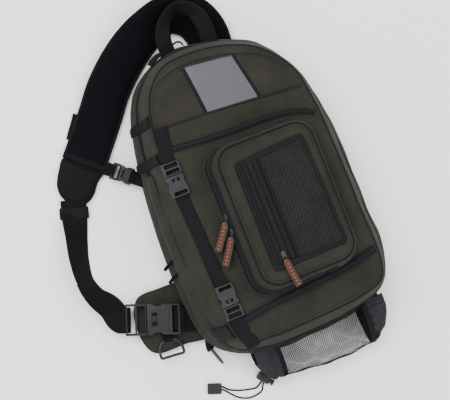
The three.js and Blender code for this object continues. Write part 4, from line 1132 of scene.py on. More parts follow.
def stitches(name, path, ups, length, space, radius, material):
    # a run of sewing: short rounded stitches lying on the cloth
    points, faces = [], []
    run, nextAt = 0.0, space
    for k, (a, b) in enumerate(zip(path, path[1:])):
        step = (b - a).length
        while nextAt <= run + step:
            p = a.lerp(b, (nextAt - run) / max(step, 1e-6))
            way = (b - a).normalized()
            lift = (ups[k] - way * ups[k].dot(way)).normalized()
            side = way.cross(lift)
            first = len(points)
            for t, r in ((-0.5, 0.45), (-0.3, 1), (0.3, 1), (0.5, 0.45)):
                for q in range(4):
                    a4 = math.pi / 2 * q
                    points.append(p + way * (t * length) + side * (r * radius * math.cos(a4))
                                  + lift * (r * radius * math.sin(a4)))
            for m in range(3):
                for q in range(4):
                    i, j = first + m * 4 + q, first + m * 4 + (q + 1) % 4
                    faces.append((i, j, j + 4, i + 4))
            faces.append((first + 3, first + 2, first + 1, first))
            faces.append((first + 12, first + 13, first + 14, first + 15))
            nextAt += length + space
        run += step
    piece = fromMesh(name, points, faces)
    outward(piece, 0.0000001)
    return settle(piece, material, smooth=40)


up = Vector((0, 0, 1))
for name, points, lift in (
        ("seam_stitches_flap", [(x, seamHeight(x) + 3.4) for x in range(-104, 113, 6)], 1.4),
        ("seam_stitches_arc", [(p.x * 0.975, p.y * 0.982) for p in arcPath[8:-4]], 1.7),
        ("seam_stitches_under_zip", [(x, upperZipAt(x) - 9) for x in range(-104, 113, 6)], 1.2),
        ("seam_stitches_over_lower", [(x, lowerZipAt(x) + 9) for x in range(-100, 120, 6)], 1.2),
        ("seam_stitches_lower", [(x, lowerZipAt(x) - 9) for x in range(-96, 116, 6)], 1.6)):
    flat = smoothPath([(x, y, 0) for x, y in points], 120)
    path = [Vector((p.x, p.y, faceTop(p.x, p.y) + lift)) for p in flat]
    stitches(name, path, [up] * len(path), 2.4, 1.3, 0.42, thread)
for name, inset, z in (("frame_stitches_outer", 2.0, 140.5), ("frame_stitches_inner", 6.2, 140.4)):
    ring = quadRing(frameCorners, 9, inset, 24)
    path = [Vector((*p, z - 0.1)) for p in ring + ring[:1]]
    stitches(name, path, [up] * len(path), 2.2, 1.2, 0.4, thread)
ring = pocketRing(138.6, 8.2)
stitches("pocket_face_stitches", [Vector((p.x, p.y, 139.3)) for p in ring + ring[:1]], [up] * (len(ring) + 1), 2.4,
         1.3, 0.42, thread)

print("stage: webbing")


def rolled(rows, steps):
    # middle line and upward directions of a band through rows of across, along, height, roll
    flat = [Vector((a * halfWidth, b * halfLength, h)) for a, b, h, roll in rows]
    path = smoothPath(flat, steps)
    lengths = [0.0]
    for p, q in zip(flat, flat[1:]):
        lengths.append(lengths[-1] + (q - p).length)
    table = [(length, row[3]) for length, row in zip(lengths, rows)]
    ups = []
    for i, p in enumerate(path):
        way = (path[min(i + 1, steps)] - path[max(i - 1, 0)]).normalized()
        side = way.cross(up).normalized()
        level = side.cross(way)
        roll = math.radians(along(table, lengths[-1] * i / steps))
        ups.append(level * math.cos(roll) - side * math.sin(roll))
    return path, ups


def lying(width, thickness, roll, lift):
    a = math.radians(roll)
    return math.sin(a) * width / 2 + math.cos(a) * thickness / 2 + 0.4 + lift


upperAt, lowerAt = (-110.05, 51.04), (-102.3, -135.0)
webRows = [
    ("compression_web_upper_cloth", "compression_web_upper", [(-103.1, 125, 107.6), (-105, 112, 108.4),
     (-107, 97.4, 107.0), (-109.8, 84, 106.6), (-110.05, 74, 107.4), (-110.05, 69, 109.2), (-110.05, 64, 108)]),
    ("compression_web_middle_cloth", "compression_web_middle", [(-110.05, 29, 108.6), (-110.05, 22, 107.2),
     (-109.4, 8, 106.2), (-107, -34.8, 105.8), (-103.6, -90, 105.8), (-102.5, -106, 106.6), (-102.3, -113, 108.4)]),
    ("compression_web_lower_cloth", "compression_web_lower", [(-102.3, -150, 108.2), (-102.3, -156, 109.4),
     (-101.8, -163, 107), (-98, -182, 106.4), (-93.6, -200, 104.6), (-92.2, -206, 100.5), (-91.6, -209, 95)]),
]
for name, node, rows in webRows:
    path = smoothPath(rows, 60)
    piece = strapBand(name, path, [up] * 61, 20, flatProfile(1.7, 0.7, 0.25))
    settle(piece, webbing, stand=[node])
    for side in (-1, 1):
        line = [p + Vector((side * 8.2, 0, 1.15)) for p in path]
        stitches(name + ("_stitch_left" if side < 0 else "_stitch_right"), line, [up] * 61, 2.0, 1.2, 0.3, webbing)

handleRows = [(-0.27, 0.95, 36, 0), (-0.27, 1.08, 45, -10), (-0.2, 1.18, 50, -45), (-0.06, 1.235, 53, -65),
              (0.08, 1.18, 51, -45), (0.14, 1.07, 47, -10), (0.14, 0.935, 38, 0)]
path, ups = rolled(handleRows, 70)
settle(strapBand("handle_webbing", path, ups, 24, flatProfile(3.0, 0.6, 0.4)), handleWeb,
       stand=["grab_handle"])
for side in (-1, 1):
    sideWays = [(path[min(i + 1, 70)] - path[max(i - 1, 0)]).normalized().cross(u) for i, u in enumerate(ups)]
    line = [p + s * (side * 9.4) + u * 1.6 for p, s, u in zip(path, sideWays, ups)]
    stitches("handle_stitches_" + ("left" if side < 0 else "right"), line, ups, 2.2, 1.2, 0.35, webbing)

strapRoute = [(0.18, 0.93, 3, 0), (0.175, 1.05, 4, 8), (0.085, 1.165, 2, 26), (-0.115, 1.228, 0, 40),
              (-0.375, 1.18, 0, 28), (-0.625, 1.083, 0, 16), (-0.885, 0.93, 0, 8), (-1.065, 0.78, 0, 4),
              (-1.225, 0.65, 0, 0), (-1.375, 0.534, 0, 0)]
path, ups = rolled([(a, b, lying(64, 9, roll, lift), roll) for a, b, lift, roll in strapRoute], 110)


def padProfile(thickness, rim, steps):
    # section of a quilted pad: flat bound edges, a raised middle with a shallow channel at each side
    half = thickness / 2
    rows = []
    for k in range(steps + 1):
        u = -1 + 2 * k / steps
        a = abs(u)
        height = rim + (half - rim) * (1 - math.exp(-max(0, 0.93 - a) / 0.07))
        height -= 0.7 * math.exp(-((a - 0.74) / 0.035) ** 2)
        rows.append((u, height))
    return rows + [(u, -h * 0.9) for u, h in reversed(rows)]


wavy = [p + u * (0.5 * noise.noise(Vector((p.x / 22, p.y / 22, 4)))) for p, u in zip(path, ups)]
strapPad = strapBand("shoulder_strap_pad", wavy, ups, 61, padProfile(8.6, 1.2, 28))
settle(strapPad, spacer, stand=["shoulder_strap"], smooth=75)
strapSides = [(path[min(i + 1, 110)] - path[max(i - 1, 0)]).normalized().cross(u) for i, u in enumerate(ups)]
for side, name in ((-1, "left"), (1, "right")):
    edge = [p + s * (side * 30.2) for p, s in zip(path, strapSides)]
    bind = strapBand("strap_binding_" + name, edge, ups, 5.4, [
        (-1, 0), (-0.8, 1.6), (-0.2, 2.0), (0.4, 1.9), (0.9, 1.2), (1, 0), (0.9, -1.2), (0.4, -1.9), (-0.2, -2.0),
        (-0.8, -1.6)])
    settle(bind, binding)
    line = [p + s * (side * 26.8) + u * 2.9 for p, s, u in zip(path, strapSides, ups)]
    stitches("strap_stitches_" + name, line[8:], ups[8:], 2.4, 1.4, 0.4, binding)

hemMiddle = Vector((-1.375 * halfWidth, 0.534 * halfLength, 0))
hemWay = (hemMiddle - Vector((-1.225 * halfWidth, 0.65 * halfLength, 0))).normalized()
hemSide = Vector((hemWay.y, -hemWay.x, 0))


def fromHem(side, down, height):
    p = hemMiddle + hemSide * side + hemWay * down
    return Vector((p.x, p.y, height))


# hem webbing across the strap's end
hemPath = [fromHem(-32.5 + 65 * k / 20, -3.4, 6.0) for k in range(21)]
settle(strapBand("strap_hem", hemPath, [up] * 21, 9, flatProfile(6.6, 0.55)), binding)
stitches("strap_hem_stitches", [p + Vector((0, 0, 3.5)) for p in hemPath], [up] * 21, 2.4, 1.3, 0.4, binding)

print("stage: buckles and fittings")


def block(at, size, bevel=0.6, segments=2):
    # a cuboid with rounded edges, in millimetres about the piece's own middle
    deselect()
    bpy.ops.mesh.primitive_cube_add(size=1, location=[v / 1000 for v in at])
    piece = bpy.context.object
    piece.scale = [v / 1000 for v in size]
    bpy.ops.object.transform_apply(location=True, rotation=True, scale=True)
    if bevel:
        apply(piece, "BEVEL", width=bevel / 1000, segments=segments, limit_method="ANGLE")
    return piece


def drum(at, radius, length, axis="z", sides=28, bevel=0):
    turns = {"x": (0, math.pi / 2, 0), "y": (math.pi / 2, 0, 0), "z": (0, 0, 0)}
    deselect()
    bpy.ops.mesh.primitive_cylinder_add(vertices=sides, radius=radius / 1000, depth=length / 1000,
                                        location=[v / 1000 for v in at], rotation=turns[axis])
    piece = bpy.context.object
    bpy.ops.object.transform_apply(location=True, rotation=True, scale=True)
    if bevel:
        apply(piece, "BEVEL", width=bevel / 1000, segments=2, limit_method="ANGLE")
    return piece


def combine(piece, others, operation):
    for other in others:
        pick(piece)
        modifier = piece.modifiers.new("cut", "BOOLEAN")
        modifier.operation = operation
        modifier.solver = "EXACT"
        modifier.object = other
        bpy.ops.object.modifier_apply(modifier=modifier.name)
        bpy.data.objects.remove(other, do_unlink=True)
    return piece


def stand(piece, name, x, y, z, turn):
    # sets a piece drawn about its own middle in its place on the bag
    piece.name = name
    piece.data.name = name
    piece.location = spot(x, y, z)
    piece.rotation_euler = (0, 0, math.radians(turn))
    return piece


def buckle(names, size, x, y, z, turn, material, nodesHeld):
    # side release buckle: ladder half to the left with its prongs, socket half to the right
    length, width, height = size
    split = -length * 0.12
    rear = length / 2 - split
    shell = block((split + rear / 2, 0, 0), (rear, width, height), min(2.0, height * 0.2), 3)
    slotAt = length / 2 - length * 0.1
    slotWide = block((slotAt, 0, 0), (length * 0.11, width - 7, height * 2), 0)
    socket = block((split + length * 0.16, 0, 0), (length * 0.44, width - 6, height - 3.6), 0)
    side = [block((length * 0.06, s * (width / 2 + 0.4), 0), (length * 0.2, width * 0.3, height * 0.55), 1.2, 3)
            for s in (-1, 1)]
    waist = [drum((length * 0.08, s * (width * 0.66), 0), width * 0.25, height * 2) for s in (-1, 1)]
    female = combine(shell, [slotWide, socket] + side + waist, "DIFFERENCE")
    ridge = [block((length * 0.27, 0, s * (height / 2 - 0.1)), (length * 0.035, width * 0.72, 0.9), 0.3)
             for s in (-1, 1)]
    window = block((length * 0.02, 0, height / 2), (length * 0.1, width * 0.42, height * 0.5), 0.5)
    female = combine(female, ridge, "UNION")
    female = combine(female, [window], "DIFFERENCE")
    settle(stand(female, names[0], x, y, z, turn), material, stand=[nodesHeld[0]], smooth=35)
    end = split - 0.3
    frameLength = end + length / 2
    male = block((-length / 2 + frameLength / 2, 0, 0), (frameLength, width, height * 0.8), 1.2, 3)
    slotLength = (frameLength - 6.2) / 2
    slots = [block((-length / 2 + 2 + slotLength / 2 + k * (slotLength + 2.2), 0, 0),
                   (slotLength, width - 6.4, height * 2), 0.5) for k in (0, 1)]
    male = combine(male, slots, "DIFFERENCE")
    prongLength = length * 0.36
    tongue = block((end + prongLength / 2 - 0.6, 0, 0), (prongLength, width * 0.2, height - 5), 0.7)
    arms = [block((end + prongLength / 2 - 0.6, s * width * 0.3, 0), (prongLength, width * 0.1, height - 5), 0.6)
            for s in (-1, 1)]
    male = combine(male, [tongue] + arms, "UNION")
    settle(stand(male, names[1], x, y, z, turn), material, stand=[nodesHeld[1]], smooth=35)


buckle(("upper_socket_half", "upper_ladder_half"), (50, 26, 8.5), *upperAt, 108.75, -90, plastic,
       ("upper_buckle_female", "upper_buckle_male"))
buckle(("lower_socket_half", "lower_ladder_half"), (50, 26, 8.5), *lowerAt, 108.75, 90, plastic,
       ("lower_buckle_female", "lower_buckle_male"))
hipAt, hipTurn = (-1.31 * halfWidth, -0.534 * halfLength), -20
buckle(("hip_socket_half", "hip_ladder_half"), (80, 46, 11), *hipAt, 18.7, hipTurn, plasticDark,
       ("hip_buckle_female", "hip_buckle_male"))
chestAt, chestTurn = (-1.075 * halfWidth, 0.388 * halfLength), -40
buckle(("chest_socket_half", "chest_ladder_half"), (33, 25, 8.5), *chestAt, 12, chestTurn, plasticDark,
       ("chest_buckle_female", "chest_buckle_male"))


def fromSpot(at, degrees, forward, side, height):
    a = math.radians(degrees)
    return Vector((at[0] + forward * math.cos(a) - side * math.sin(a),
                   at[1] + forward * math.sin(a) + side * math.cos(a), height))


def webAt(name, node, at, degrees, rows, width, material=None):
    path = smoothPath([fromSpot(at, degrees, f, 0, h) for f, h in rows], 40)
    piece = strapBand(name, path, [up] * 41, width, flatProfile(1.8, 0.7, 0.2))
    settle(piece, material or strapWeb, stand=[node] if node else [])
    return path


webAt("chest_web_left", "chest_web_strap", chestAt, chestTurn, [
    (-11.5, 13.6), (-14.2, 14.6), (-17.4, 13.2), (-20, 10.4), (-26, 7), (-33, 5.4)], 19.5)
webAt("chest_web_right", "chest_web_bag", chestAt, chestTurn, [
    (10.2, 12.2), (13, 13.6), (16.4, 14), (22, 13.6), (30, 15.5), (43, 18)], 19.5)
webAt("hip_web_cloth", "hip_web", hipAt, hipTurn, [
    (30.5, 18.6), (34, 20.6), (38, 22), (42, 22.2), (50, 19.6), (62, 17.8), (76, 17.4)], 37)
webAt("hip_web_under", None, hipAt, hipTurn, [
    (31, 17), (35, 14.8), (41, 14.4), (50, 15.2), (60, 15.4)], 36)
path = [fromSpot(hipAt, hipTurn, 47, -17 + 34 * k / 12, 21.6) for k in range(13)]
stitches("hip_web_tack", path, [up] * 13, 2.4, 1.2, 0.45, binding)


def cushion(name, outline, low, high, material, node, rim=9, soft=1.0, seed=2.0):
    # a padded piece: a thin bound rim that swells into a full middle
    ring = smoothPath([(x, y, 0) for x, y in outline], 96, closed=True)
    middle = sum(ring, Vector()) / len(ring)
    area = sum(a.x * b.y - a.y * b.x for a, b in zip(ring, ring[1:] + ring[:1]))
    facing = 1 if area > 0 else -1
    half = (high - low) / 2

    def inward(amount):
        out = []
        for i, p in enumerate(ring):
            way = (ring[(i + 1) % 96] - ring[i - 1]).normalized()
            out.append(Vector((p.x - way.y * amount * facing, p.y + way.x * amount * facing, 0)))
        return out
    rings = []
    rows = [(0.0, 0.0), (0.0, 0.22), (1.4, 0.3), (2.8, 0.28), (4.2, 0.55), (6.2, 0.8), (rim, 0.95)]
    upper = [([Vector((p.x, p.y, low + half + half * h)) for p in inward(d)]) for d, h in rows]
    last = inward(rim)
    for share, h in ((0.75, 1.0), (0.45, 1.0), (0.15, 1.0)):
        upper.append([Vector((*(middle.lerp(p, share)).xy, low + half + half * h)) for p in last])
    lower = [[Vector((p.x, p.y, 2 * (low + half) - p.z)) for p in r] for r in upper]
    rings = list(reversed(lower)) + upper[1:]
    piece = loft(name, rings)
    for vertex in piece.data.vertices:
        p = vertex.co * 1000
        lift = noise.noise(Vector((p.x / 17, p.y / 17, seed))) * soft
        if p.z > low + half:
            vertex.co.z += lift / 1000
    settle(piece, material, stand=[node], smooth=70)
    return piece


tipRows = [(-0.49, 0), (0, 0), (0.48, 0), (0.48, 0.35), (0.4, 0.71), (0.23, 0.92),
           (0, 1), (-0.24, 0.96), (-0.4, 0.82),
           (-0.46, 0.6), (-0.45, 0.3)]
tipPiece = cushion("strap_tip_pad", [fromHem(s * 64, d * 60 + 1.0, 0).xy for s, d in tipRows], 0.4, 8.6, binding,
                   "strap_tip", 8, 0.6)
wingRows = [(-0.88, -0.38), (-1.0, -0.372), (-1.14, -0.37), (-1.36, -0.375), (-1.45, -0.45), (-1.48, -0.56),
            (-1.465, -0.67), (-1.42, -0.73), (-1.35, -0.755), (-1.1, -0.76), (-0.88, -0.765)]
wingPiece = cushion("wing_pad", [(a * halfWidth, b * halfLength) for a, b in wingRows], 0.4, 12.9, olive,
                    "hip_wing", 11, 0.9, 7.0)

# wide webbing from the tip, with its twist, to the large buckle
tipEnd = fromHem(-3.2, 55, 0)
hipLeft = fromSpot(hipAt, hipTurn, -40.3, 0, 0)
hipLead = fromSpot(hipAt, hipTurn, -47.3, 0, 0)
wideRows = [(tipEnd.x / halfWidth, tipEnd.y / halfLength, lying(38, 2, 0, 3), 0),
            (-1.625, 0.27, lying(38, 2, 5, 3), 5), (-1.69, 0.12, lying(38, 2, 30, 0), 30),
            (-1.745, -0.02, lying(38, 2, 40, 0), 40), (-1.765, -0.16, lying(38, 2, 48, 0), 48),
            (-1.725, -0.27, lying(38, 2, 40, 3), 40), (-1.64, -0.365, lying(38, 2, 18, 9), 18),
            (hipLead.x / halfWidth, hipLead.y / halfLength, 19.2, 0),
            (hipLeft.x / halfWidth, hipLeft.y / halfLength, 20.4, 0)]
path, ups = rolled(wideRows, 110)
path += [fromSpot(hipAt, hipTurn, -37.2, 0, 22.6), fromSpot(hipAt, hipTurn, -33, 0, 19.4)]
ups += [up, up]
wideWeb = strapBand("wide_webbing", path, ups, 37.6, flatProfile(2.0, 0.7, 0.35, 12))
settle(wideWeb, strapWeb, stand=["strap_webbing"])
# the free layer folded back over the first, next to the buckle
under = [p - u * 2.4 + Vector((0.6, -1.2, 0)) for p, u in zip(path[64:108], ups[64:108])]
settle(strapBand("wide_webbing_fold", under, ups[64:108], 37, flatProfile(1.8, 0.7, 0.3)), strapWeb)

keeperStart = Vector((tipEnd.x, tipEnd.y, 0))
keeperWay = (Vector((-1.625 * halfWidth, 0.27 * halfLength, 0)) - keeperStart).normalized()
keeperSide = Vector((keeperWay.y, -keeperWay.x, 0))
rings = []
for forward, swell in ((10.8, -0.5), (11.2, 0), (15, 0.35), (24, 0.35), (27.8, 0), (28.2, -0.5)):
    middle = keeperStart + keeperWay * forward
    ring = []
    for k in range(36):
        a = 2 * math.pi * k / 36
        across = math.copysign(abs(math.cos(a)) ** 0.35, math.cos(a)) * (21 + swell)
        tall = math.copysign(abs(math.sin(a)) ** 0.5, math.sin(a)) * (2.8 + swell)
        p = middle + keeperSide * across
        ring.append(Vector((p.x, p.y, 4.9 + tall)))
    rings.append(ring)
settle(loft("keeper", rings), handleWeb, stand=["keeper_band"])

# D-shaped loop and its tab
loopAt = (-1.25 * halfWidth, -0.742 * halfLength)
loopPath = []
for x, y in ((-16.6, -11.6), (-8, -12.2), (0, -12.2), (8, -12.2), (16.6, -11.6), (17.2, -5), (15.8, 3), (11.6, 9),
             (5, 12.2), (0, 12.6), (-5, 12.2), (-11.6, 9), (-15.8, 3), (-17.2, -5)):
    p = turned(x, y, -6, loopAt)
    loopPath.append((p.x, p.y, 15.4))
loopPiece = tube("d_loop_bar", smoothPath(loopPath, 90, closed=True), 2.15, 12, True)
settle(loopPiece, plastic, stand=["d_loop"])
tabRows = [(0, 9.4, 13.0), (0, 13, 18.6), (0, 16.5, 17.4), (0, 21, 14.6), (0, 26, 14.2)]
path = smoothPath([(*turned(x, y, -6, loopAt), z) for x, y, z in tabRows], 24)
settle(strapBand("d_loop_cloth", path, [up] * 25, 17, flatProfile(1.5)), strapWeb, stand=["d_loop_tab"])

# wire ring standing on its edge, and its tab
ringEnd = Vector((-0.905 * halfWidth, -0.835 * halfLength))
ringTurn = math.radians(-72)
ringWay = Vector((math.cos(ringTurn), math.sin(ringTurn)))
ringMiddle = ringEnd + ringWay * 16.46
loopPath = []
for k in range(48):
    a = 2 * math.pi * k / 48
    p = ringMiddle + ringWay * (10.5 * 1.3 * math.cos(a))
    loopPath.append(Vector((p.x, p.y, 12.6 + 10.5 * math.sin(a))))
settle(tube("side_ring_wire", loopPath, 1.7, 12, True), steel, stand=["side_ring"])
rootAt = Vector((-0.86 * halfWidth, -0.74 * halfLength))
tabPath = smoothPath([(rootAt.x + 3, rootAt.y + 9, 16), (rootAt.x, rootAt.y, 15),
                      (ringEnd.x + 1, ringEnd.y + 4, 13.6),
                      (ringEnd.x + 0.4, ringEnd.y - 2, 12.9), (ringEnd.x + 1.0, ringEnd.y - 4.6, 12.2)], 30)
settle(strapBand("ring_tab_cloth", tabPath, [up] * 31, 12, flatProfile(2.0)), webbing, stand=["ring_tab"])

# dark strips across the left gusset, following the body's side
def gussetBand(name, node, y, width, low, high, lean=0.0):
    rings = []
    steps = 30
    for k in range(steps + 1):
        z = low + (high - low) * k / steps
        ring = bodyRing(z, 0, 360)
        left = [p for p in ring if p.x < 0]
        section = []
        for part in (-1, -0.9, -0.45, 0, 0.45, 0.9, 1):
            want = y + part * width / 2 + lean * (z - low)
            p = min(left, key=lambda q: abs(q.y - want))
            i = ring.index(p)
            way = (ring[(i + 1) % 360] - ring[i - 1]).normalized()
            lift = 1.2 + (0.9 if abs(part) < 1 else -1.4)
            section.append(Vector((p.x + way.y * lift, want - way.x * lift, z)))
        rings.append(section)
    piece = fromMesh(name, [p for r in rings for p in r],
                     [(r * 7 + c, r * 7 + c + 1, (r + 1) * 7 + c + 1, (r + 1) * 7 + c)
                      for r in range(steps) for c in range(6)])
    apply(piece, "SOLIDIFY", thickness=0.0016, offset=-1)
    outward(piece, 0.0000001)
    return settle(piece, webbing if width < 18 else tape, stand=[node])


# each strip: name, node, middle along the bag, width, lowest and highest height
gussetBand("gusset_strip_upper", "gusset_band_upper", 0.6 * halfLength, 12, 16, 100)
gussetBand("gusset_strip_lower", "gusset_band_lower", 0.37 * halfLength, 12, 16, 100)
gussetBand("gusset_strip_corner", "gusset_band_corner", -0.755 * halfLength, 20, 60, 99)

for name, node, share in (("rear_pull_cloth_upper", "rear_pull_upper", -0.235),
                          ("rear_pull_cloth_lower", "rear_pull_lower", -0.32)):
    rows = [(-0.93, share, 47), (-0.985, share - 0.012, 44), (-1.03, share - 0.03, 39), (-1.05, share - 0.04, 36)]
    path = smoothPath([(a * halfWidth, b * halfLength, h) for a, b, h in rows], 24)
    settle(strapBand(name, path, [Vector((0.3, 0, 1))] * 25, 5.4, flatProfile(2.2, 0.9, 0.4)), strapWeb,
           stand=[node])

print("stage: sliders and ribbons")


def slider(name, node, at, along, outward):
    # zip slider: a shield-shaped body, a bridge and a wire loop through it
    outward = Vector(outward).normalized()
    along = (Vector(along) - outward * Vector(along).dot(outward)).normalized()
    side = outward.cross(along)
    turn = Matrix((along, side, outward)).transposed().to_4x4()
    body = block((0, 0, 0), (9, 7, 2.2), 0.7, 3)
    body = combine(body, [drum((5.2, s * 5.6, 0), 3.6, 6) for s in (-1, 1)], "DIFFERENCE")
    body = combine(body, [block((-0.4, 0, 1.6), (6.2, 2.2, 1.8), 0.6, 2)], "UNION")
    body.matrix_world = Matrix.Translation(spot(*at)) @ turn
    body.name = name
    settle(body, steel, stand=[node], smooth=35)
    points = []
    for k in range(24):
        a = 2 * math.pi * k / 24
        points.append(Vector(at) + along * (-5.6 + 4.0 * math.cos(a)) + side * (2.1 * math.sin(a)) + outward * 1.9)
    settle(tube(name + "_loop", points, 0.55, 8, True), steel)


slider("slider_upper_body", "slider_upper", (-66.2, -22.1, 124.6), (0, 1, 0), (-0.95, 0, 0.3))
slider("slider_lower_body", "slider_lower", (-66.2, -44.1, 124.6), (0, 1, 0), (-0.95, 0, 0.3))
slider("slider_window_body", "slider_window", (-13.2, -99.8, 142.2), (0.04, 1, 0), (0, 0, 1))
ribbonRows = [
    ("ribbon_upper", "pull_upper", [(-69.5, -29.5, 125.6), (-72.5, -35, 124.6), (-78, -43.5, 121.8),
                                    (-86.5, -55.5, 118.2), (-92.5, -64, 116)], (-0.42, 0.15, 0.9)),
    ("ribbon_lower", "pull_lower", [(-69.5, -51.5, 125.6), (-72.2, -57, 124.4), (-77.2, -65.8, 121.6),
                                    (-84.8, -78, 118.2), (-90.5, -86.6, 116)], (-0.42, 0.15, 0.9)),
    ("ribbon_window", "pull_window", [(-13.2, -107, 144.2), (-12.7, -112.5, 143.8), (-11.4, -124, 143.4),
                                      (-9.4, -138, 143), (-7.6, -148, 141.6)], (0, 0, 1)),
]
for name, node, rows, facing in ribbonRows:
    path = smoothPath(rows, 40)
    wide = [(0.0, 4.0), (0.06, 7.5), (0.12, 10.4), (1.0, 10.5)]
    piece = strapBand(name, path, [Vector(facing)] * 41, lambda t: along(wide, t), flatProfile(2.0, 0.85, 0.3))
    settle(piece, ribbon, stand=[node])

# end of the top zip and a small cord loop beside the handle
path = smoothPath([(-76, 219, 50), (-70, 224, 51), (-62, 228, 51), (-56, 230, 50)], 24)
settle(strapBand("top_zip_end", path, [Vector((0, 0.6, 0.8))] * 25, 9, flatProfile(3.2, 0.8, 0.6)),
       piping)
path = smoothPath([(-34, 229, 51), (-35, 234.5, 52), (-29, 238, 52.5), (-22, 236.5, 52), (-19, 230.5, 51)], 40)
settle(tube("top_cord_loop", path, 1.4, 8), piping)
# small tab sewn behind the strap's outer edge
path = smoothPath([(-196, 196, 3), (-203, 186, 3.2), (-212, 174, 3), (-219, 164, 2.6)], 24)
settle(strapBand("strap_edge_tab", path, [up] * 25, 11, flatProfile(1.8)), binding)

print("stage: net pouch")

pouch = {"x": -0.56 * halfWidth, "length": 213, "reach": 54, "depth": 40, "base": -0.985 * halfLength, "middle": 23}
pouchRows = [(0, 0.38, 0.9), (0.06, 0.8, 1), (0.12, 0.9, 1), (0.2, 0.86, 0.97), (0.4, 0.97, 1), (0.64, 1, 1),
             (0.84, 0.92, 1), (0.93, 0.72, 0.95), (0.98, 0.44, 0.85), (1, 0.2, 0.7)]
reachTable = [(p.x, p.y) for p in smoothPath([(a, b, 0) for a, b, c in pouchRows], 120)]
depthTable = [(a, c) for a, b, c in pouchRows]


def pouchPoint(share, turn, out=0.0):
    # a place on the pouch: share along it, turn from the underside (-1) round the front to the top (1)
    reach = along(reachTable, share) * pouch["reach"] + out
    depth = along(depthTable, share) * pouch["depth"] / 2 + out
    x = pouch["x"] + share * pouch["length"]
    if abs(turn) <= 1:
        a = math.pi / 2 * turn
        return Vector((x, pouch["base"] - reach * math.cos(a), pouch["middle"] + depth * math.sin(a)))
    back = (abs(turn) - 1) * 40
    return Vector((x, pouch["base"] + back, pouch["middle"] + math.copysign(depth, turn)))


def sag(share, turn):
    # slack in the net: soft hollows between the folds that run to the gathered end
    a = noise.noise(Vector((share * 7, turn * 2.2, 8.5))) * 2.6
    return a + 1.2 * math.sin(share * 31 + turn * 2.4) * (0.4 + share)


# diagonal net: crossing threads between the hem and the gathered end
netRows = {"from": 0.15, "to": 0.9, "columns": 88, "rows": 84, "thread": 0.75}
points, faces = [], []
index = {}
for c in range(netRows["columns"] + 1):
    for r in range(netRows["rows"] + 1):
        if (c + r) % 2:
            continue
        share = netRows["from"] + (netRows["to"] - netRows["from"]) * c / netRows["columns"]
        turn = -1.25 + 2.5 * r / netRows["rows"]
        index[c, r] = len(points)
        points.append(pouchPoint(share, turn, -1.2 + sag(share, turn) * 0.8))
for (c, r) in list(index):
    quad = [(c, r), (c + 1, r + 1), (c, r + 2), (c - 1, r + 1)]
    if all(q in index for q in quad):
        faces.append([index[q] for q in quad])
netPiece = fromMesh("pouch_net", points, faces)
apply(netPiece, "WIREFRAME", thickness=netRows["thread"] / 1000, use_replace=True, use_even_offset=False,
      use_boundary=True)
settle(netPiece, netCloth, stand=["net_pouch"], smooth=0)

# gathered nylon at the right end, pleated towards the point
rings = []
for k in range(45):
    share = 0.82 + 0.18 * (k / 44)
    ring = []
    for i in range(97):
        turn = -1.35 + 2.7 * i / 96
        depth = min(1, max(0, share - 0.825) / 0.05)
        pleat = 1.7 * abs(math.sin(turn * 15 + 2.2 * noise.noise(Vector((share * 8, turn * 2, 3))))) * depth
        crease = noise.noise(Vector((share * 22, turn * 5, 6))) * 1.8 * depth
        ring.append(pouchPoint(share, turn, -2.6 + pleat + crease))
    rings.append(ring)
gather = fromMesh("pouch_gather", [p for r in rings for p in r],
                  [(k * 97 + i, k * 97 + i + 1, (k + 1) * 97 + i + 1, (k + 1) * 97 + i)
                   for k in range(44) for i in range(96)])
outward(gather, 0.0000001)
apply(gather, "SOLIDIFY", thickness=0.0009, offset=0)
settle(gather, nylon, stand=["pouch_end"], smooth=80)
path = [pouchPoint(0.835, -1.2 + 2.4 * k / 40, 0.2 + 0.4 * math.sin(k * 1.9)) for k in range(41)]
ways = [(p - Vector((p.x, pouch["base"], pouch["middle"]))).normalized() for p in path]
settle(strapBand("pouch_end_binding", path, ways, 9, flatProfile(1.8, 0.9, 0.3)), piping)

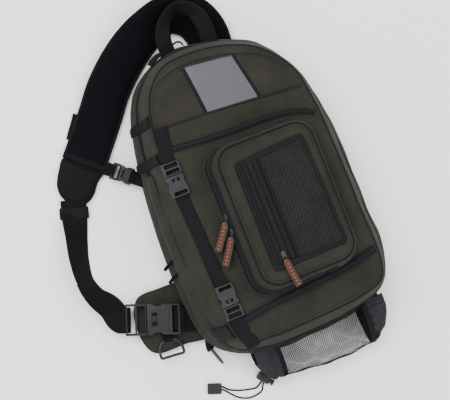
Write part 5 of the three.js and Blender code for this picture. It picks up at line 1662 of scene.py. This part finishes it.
# ruffled drawcord channel at the left
rings = []
for k in range(41):
    share = 0.0 + 0.185 * k / 40
    ring = []
    for i in range(121):
        turn = -1.3 + 2.6 * i / 120
        grip = 1 - abs(k / 40 - 0.45) * 1.3
        ruffle = 2.3 * math.sin(turn * 13 + 1.7 * noise.noise(Vector((share * 12, turn * 3, 1)))) * max(0.15, grip)
        pinch = -3.0 * math.exp(-((k / 40 - 0.62) / 0.09) ** 2)
        ring.append(pouchPoint(share, turn, -3.4 + ruffle + pinch))
    rings.append(ring)
hem = fromMesh("pouch_ruffle", [p for r in rings for p in r],
               [(k * 121 + i, k * 121 + i + 1, (k + 1) * 121 + i + 1, (k + 1) * 121 + i)
                for k in range(40) for i in range(120)])
outward(hem, 0.0000001)
apply(hem, "SOLIDIFY", thickness=0.0009, offset=0)
settle(hem, nylon, stand=["pouch_hem"], smooth=80)

print("stage: cord lock")

lockTurn = cordLook["lockTurn"]
lockBody = block((0, 0, 0), (20, 12.5, 12), 2.6, 4)
lockBody = combine(lockBody, [drum((5, 0, 0), 3.8, 14, "x", 32), drum((3, 0, 0), 2.2, 16, "y", 24)], "DIFFERENCE")
lockBody = combine(lockBody, [block((-7 + 3 * k, s * 5.9, 0), (1.1, 1.2, 8), 0.4) for k in range(3) for s in (-1, 1)],
                   "UNION")
settle(stand(lockBody, "lock_body", lockSpot.x, lockSpot.y, 6.4, lockTurn), plasticDark,
       stand=["cord_lock"], smooth=35)
plunger = drum((7.5, 0, 0), 3.3, 12.2, "x", 32, 0.3)
plunger = combine(plunger, [drum((14.9, 0, 0), 4.8, 3, "x", 40, 0.9)], "UNION")
settle(stand(plunger, "lock_plunger", lockSpot.x, lockSpot.y, 6.4, lockTurn), plastic, body="plunger",
       stand=["cord_lock_plunger"], smooth=35)
endPiece = block((0, 0, 0), (21, 16, 5), 1.9, 4)
endPiece = combine(endPiece, [block((x, 0, s * 2.4), (1.3, 12.5, 0.9), 0.35) for x in (-4.5, 3.5) for s in (-1, 1)],
                   "UNION")
endPiece = combine(endPiece, [drum((9, s * 2.2, 0), 1.4, 8, "x", 20) for s in (-1, 1)], "DIFFERENCE")
settle(stand(endPiece, "cord_end_tab", endSpot.x, endSpot.y, 2.9, cordLook["endTurn"]), plasticDark,
       stand=["cord_end"], smooth=35)
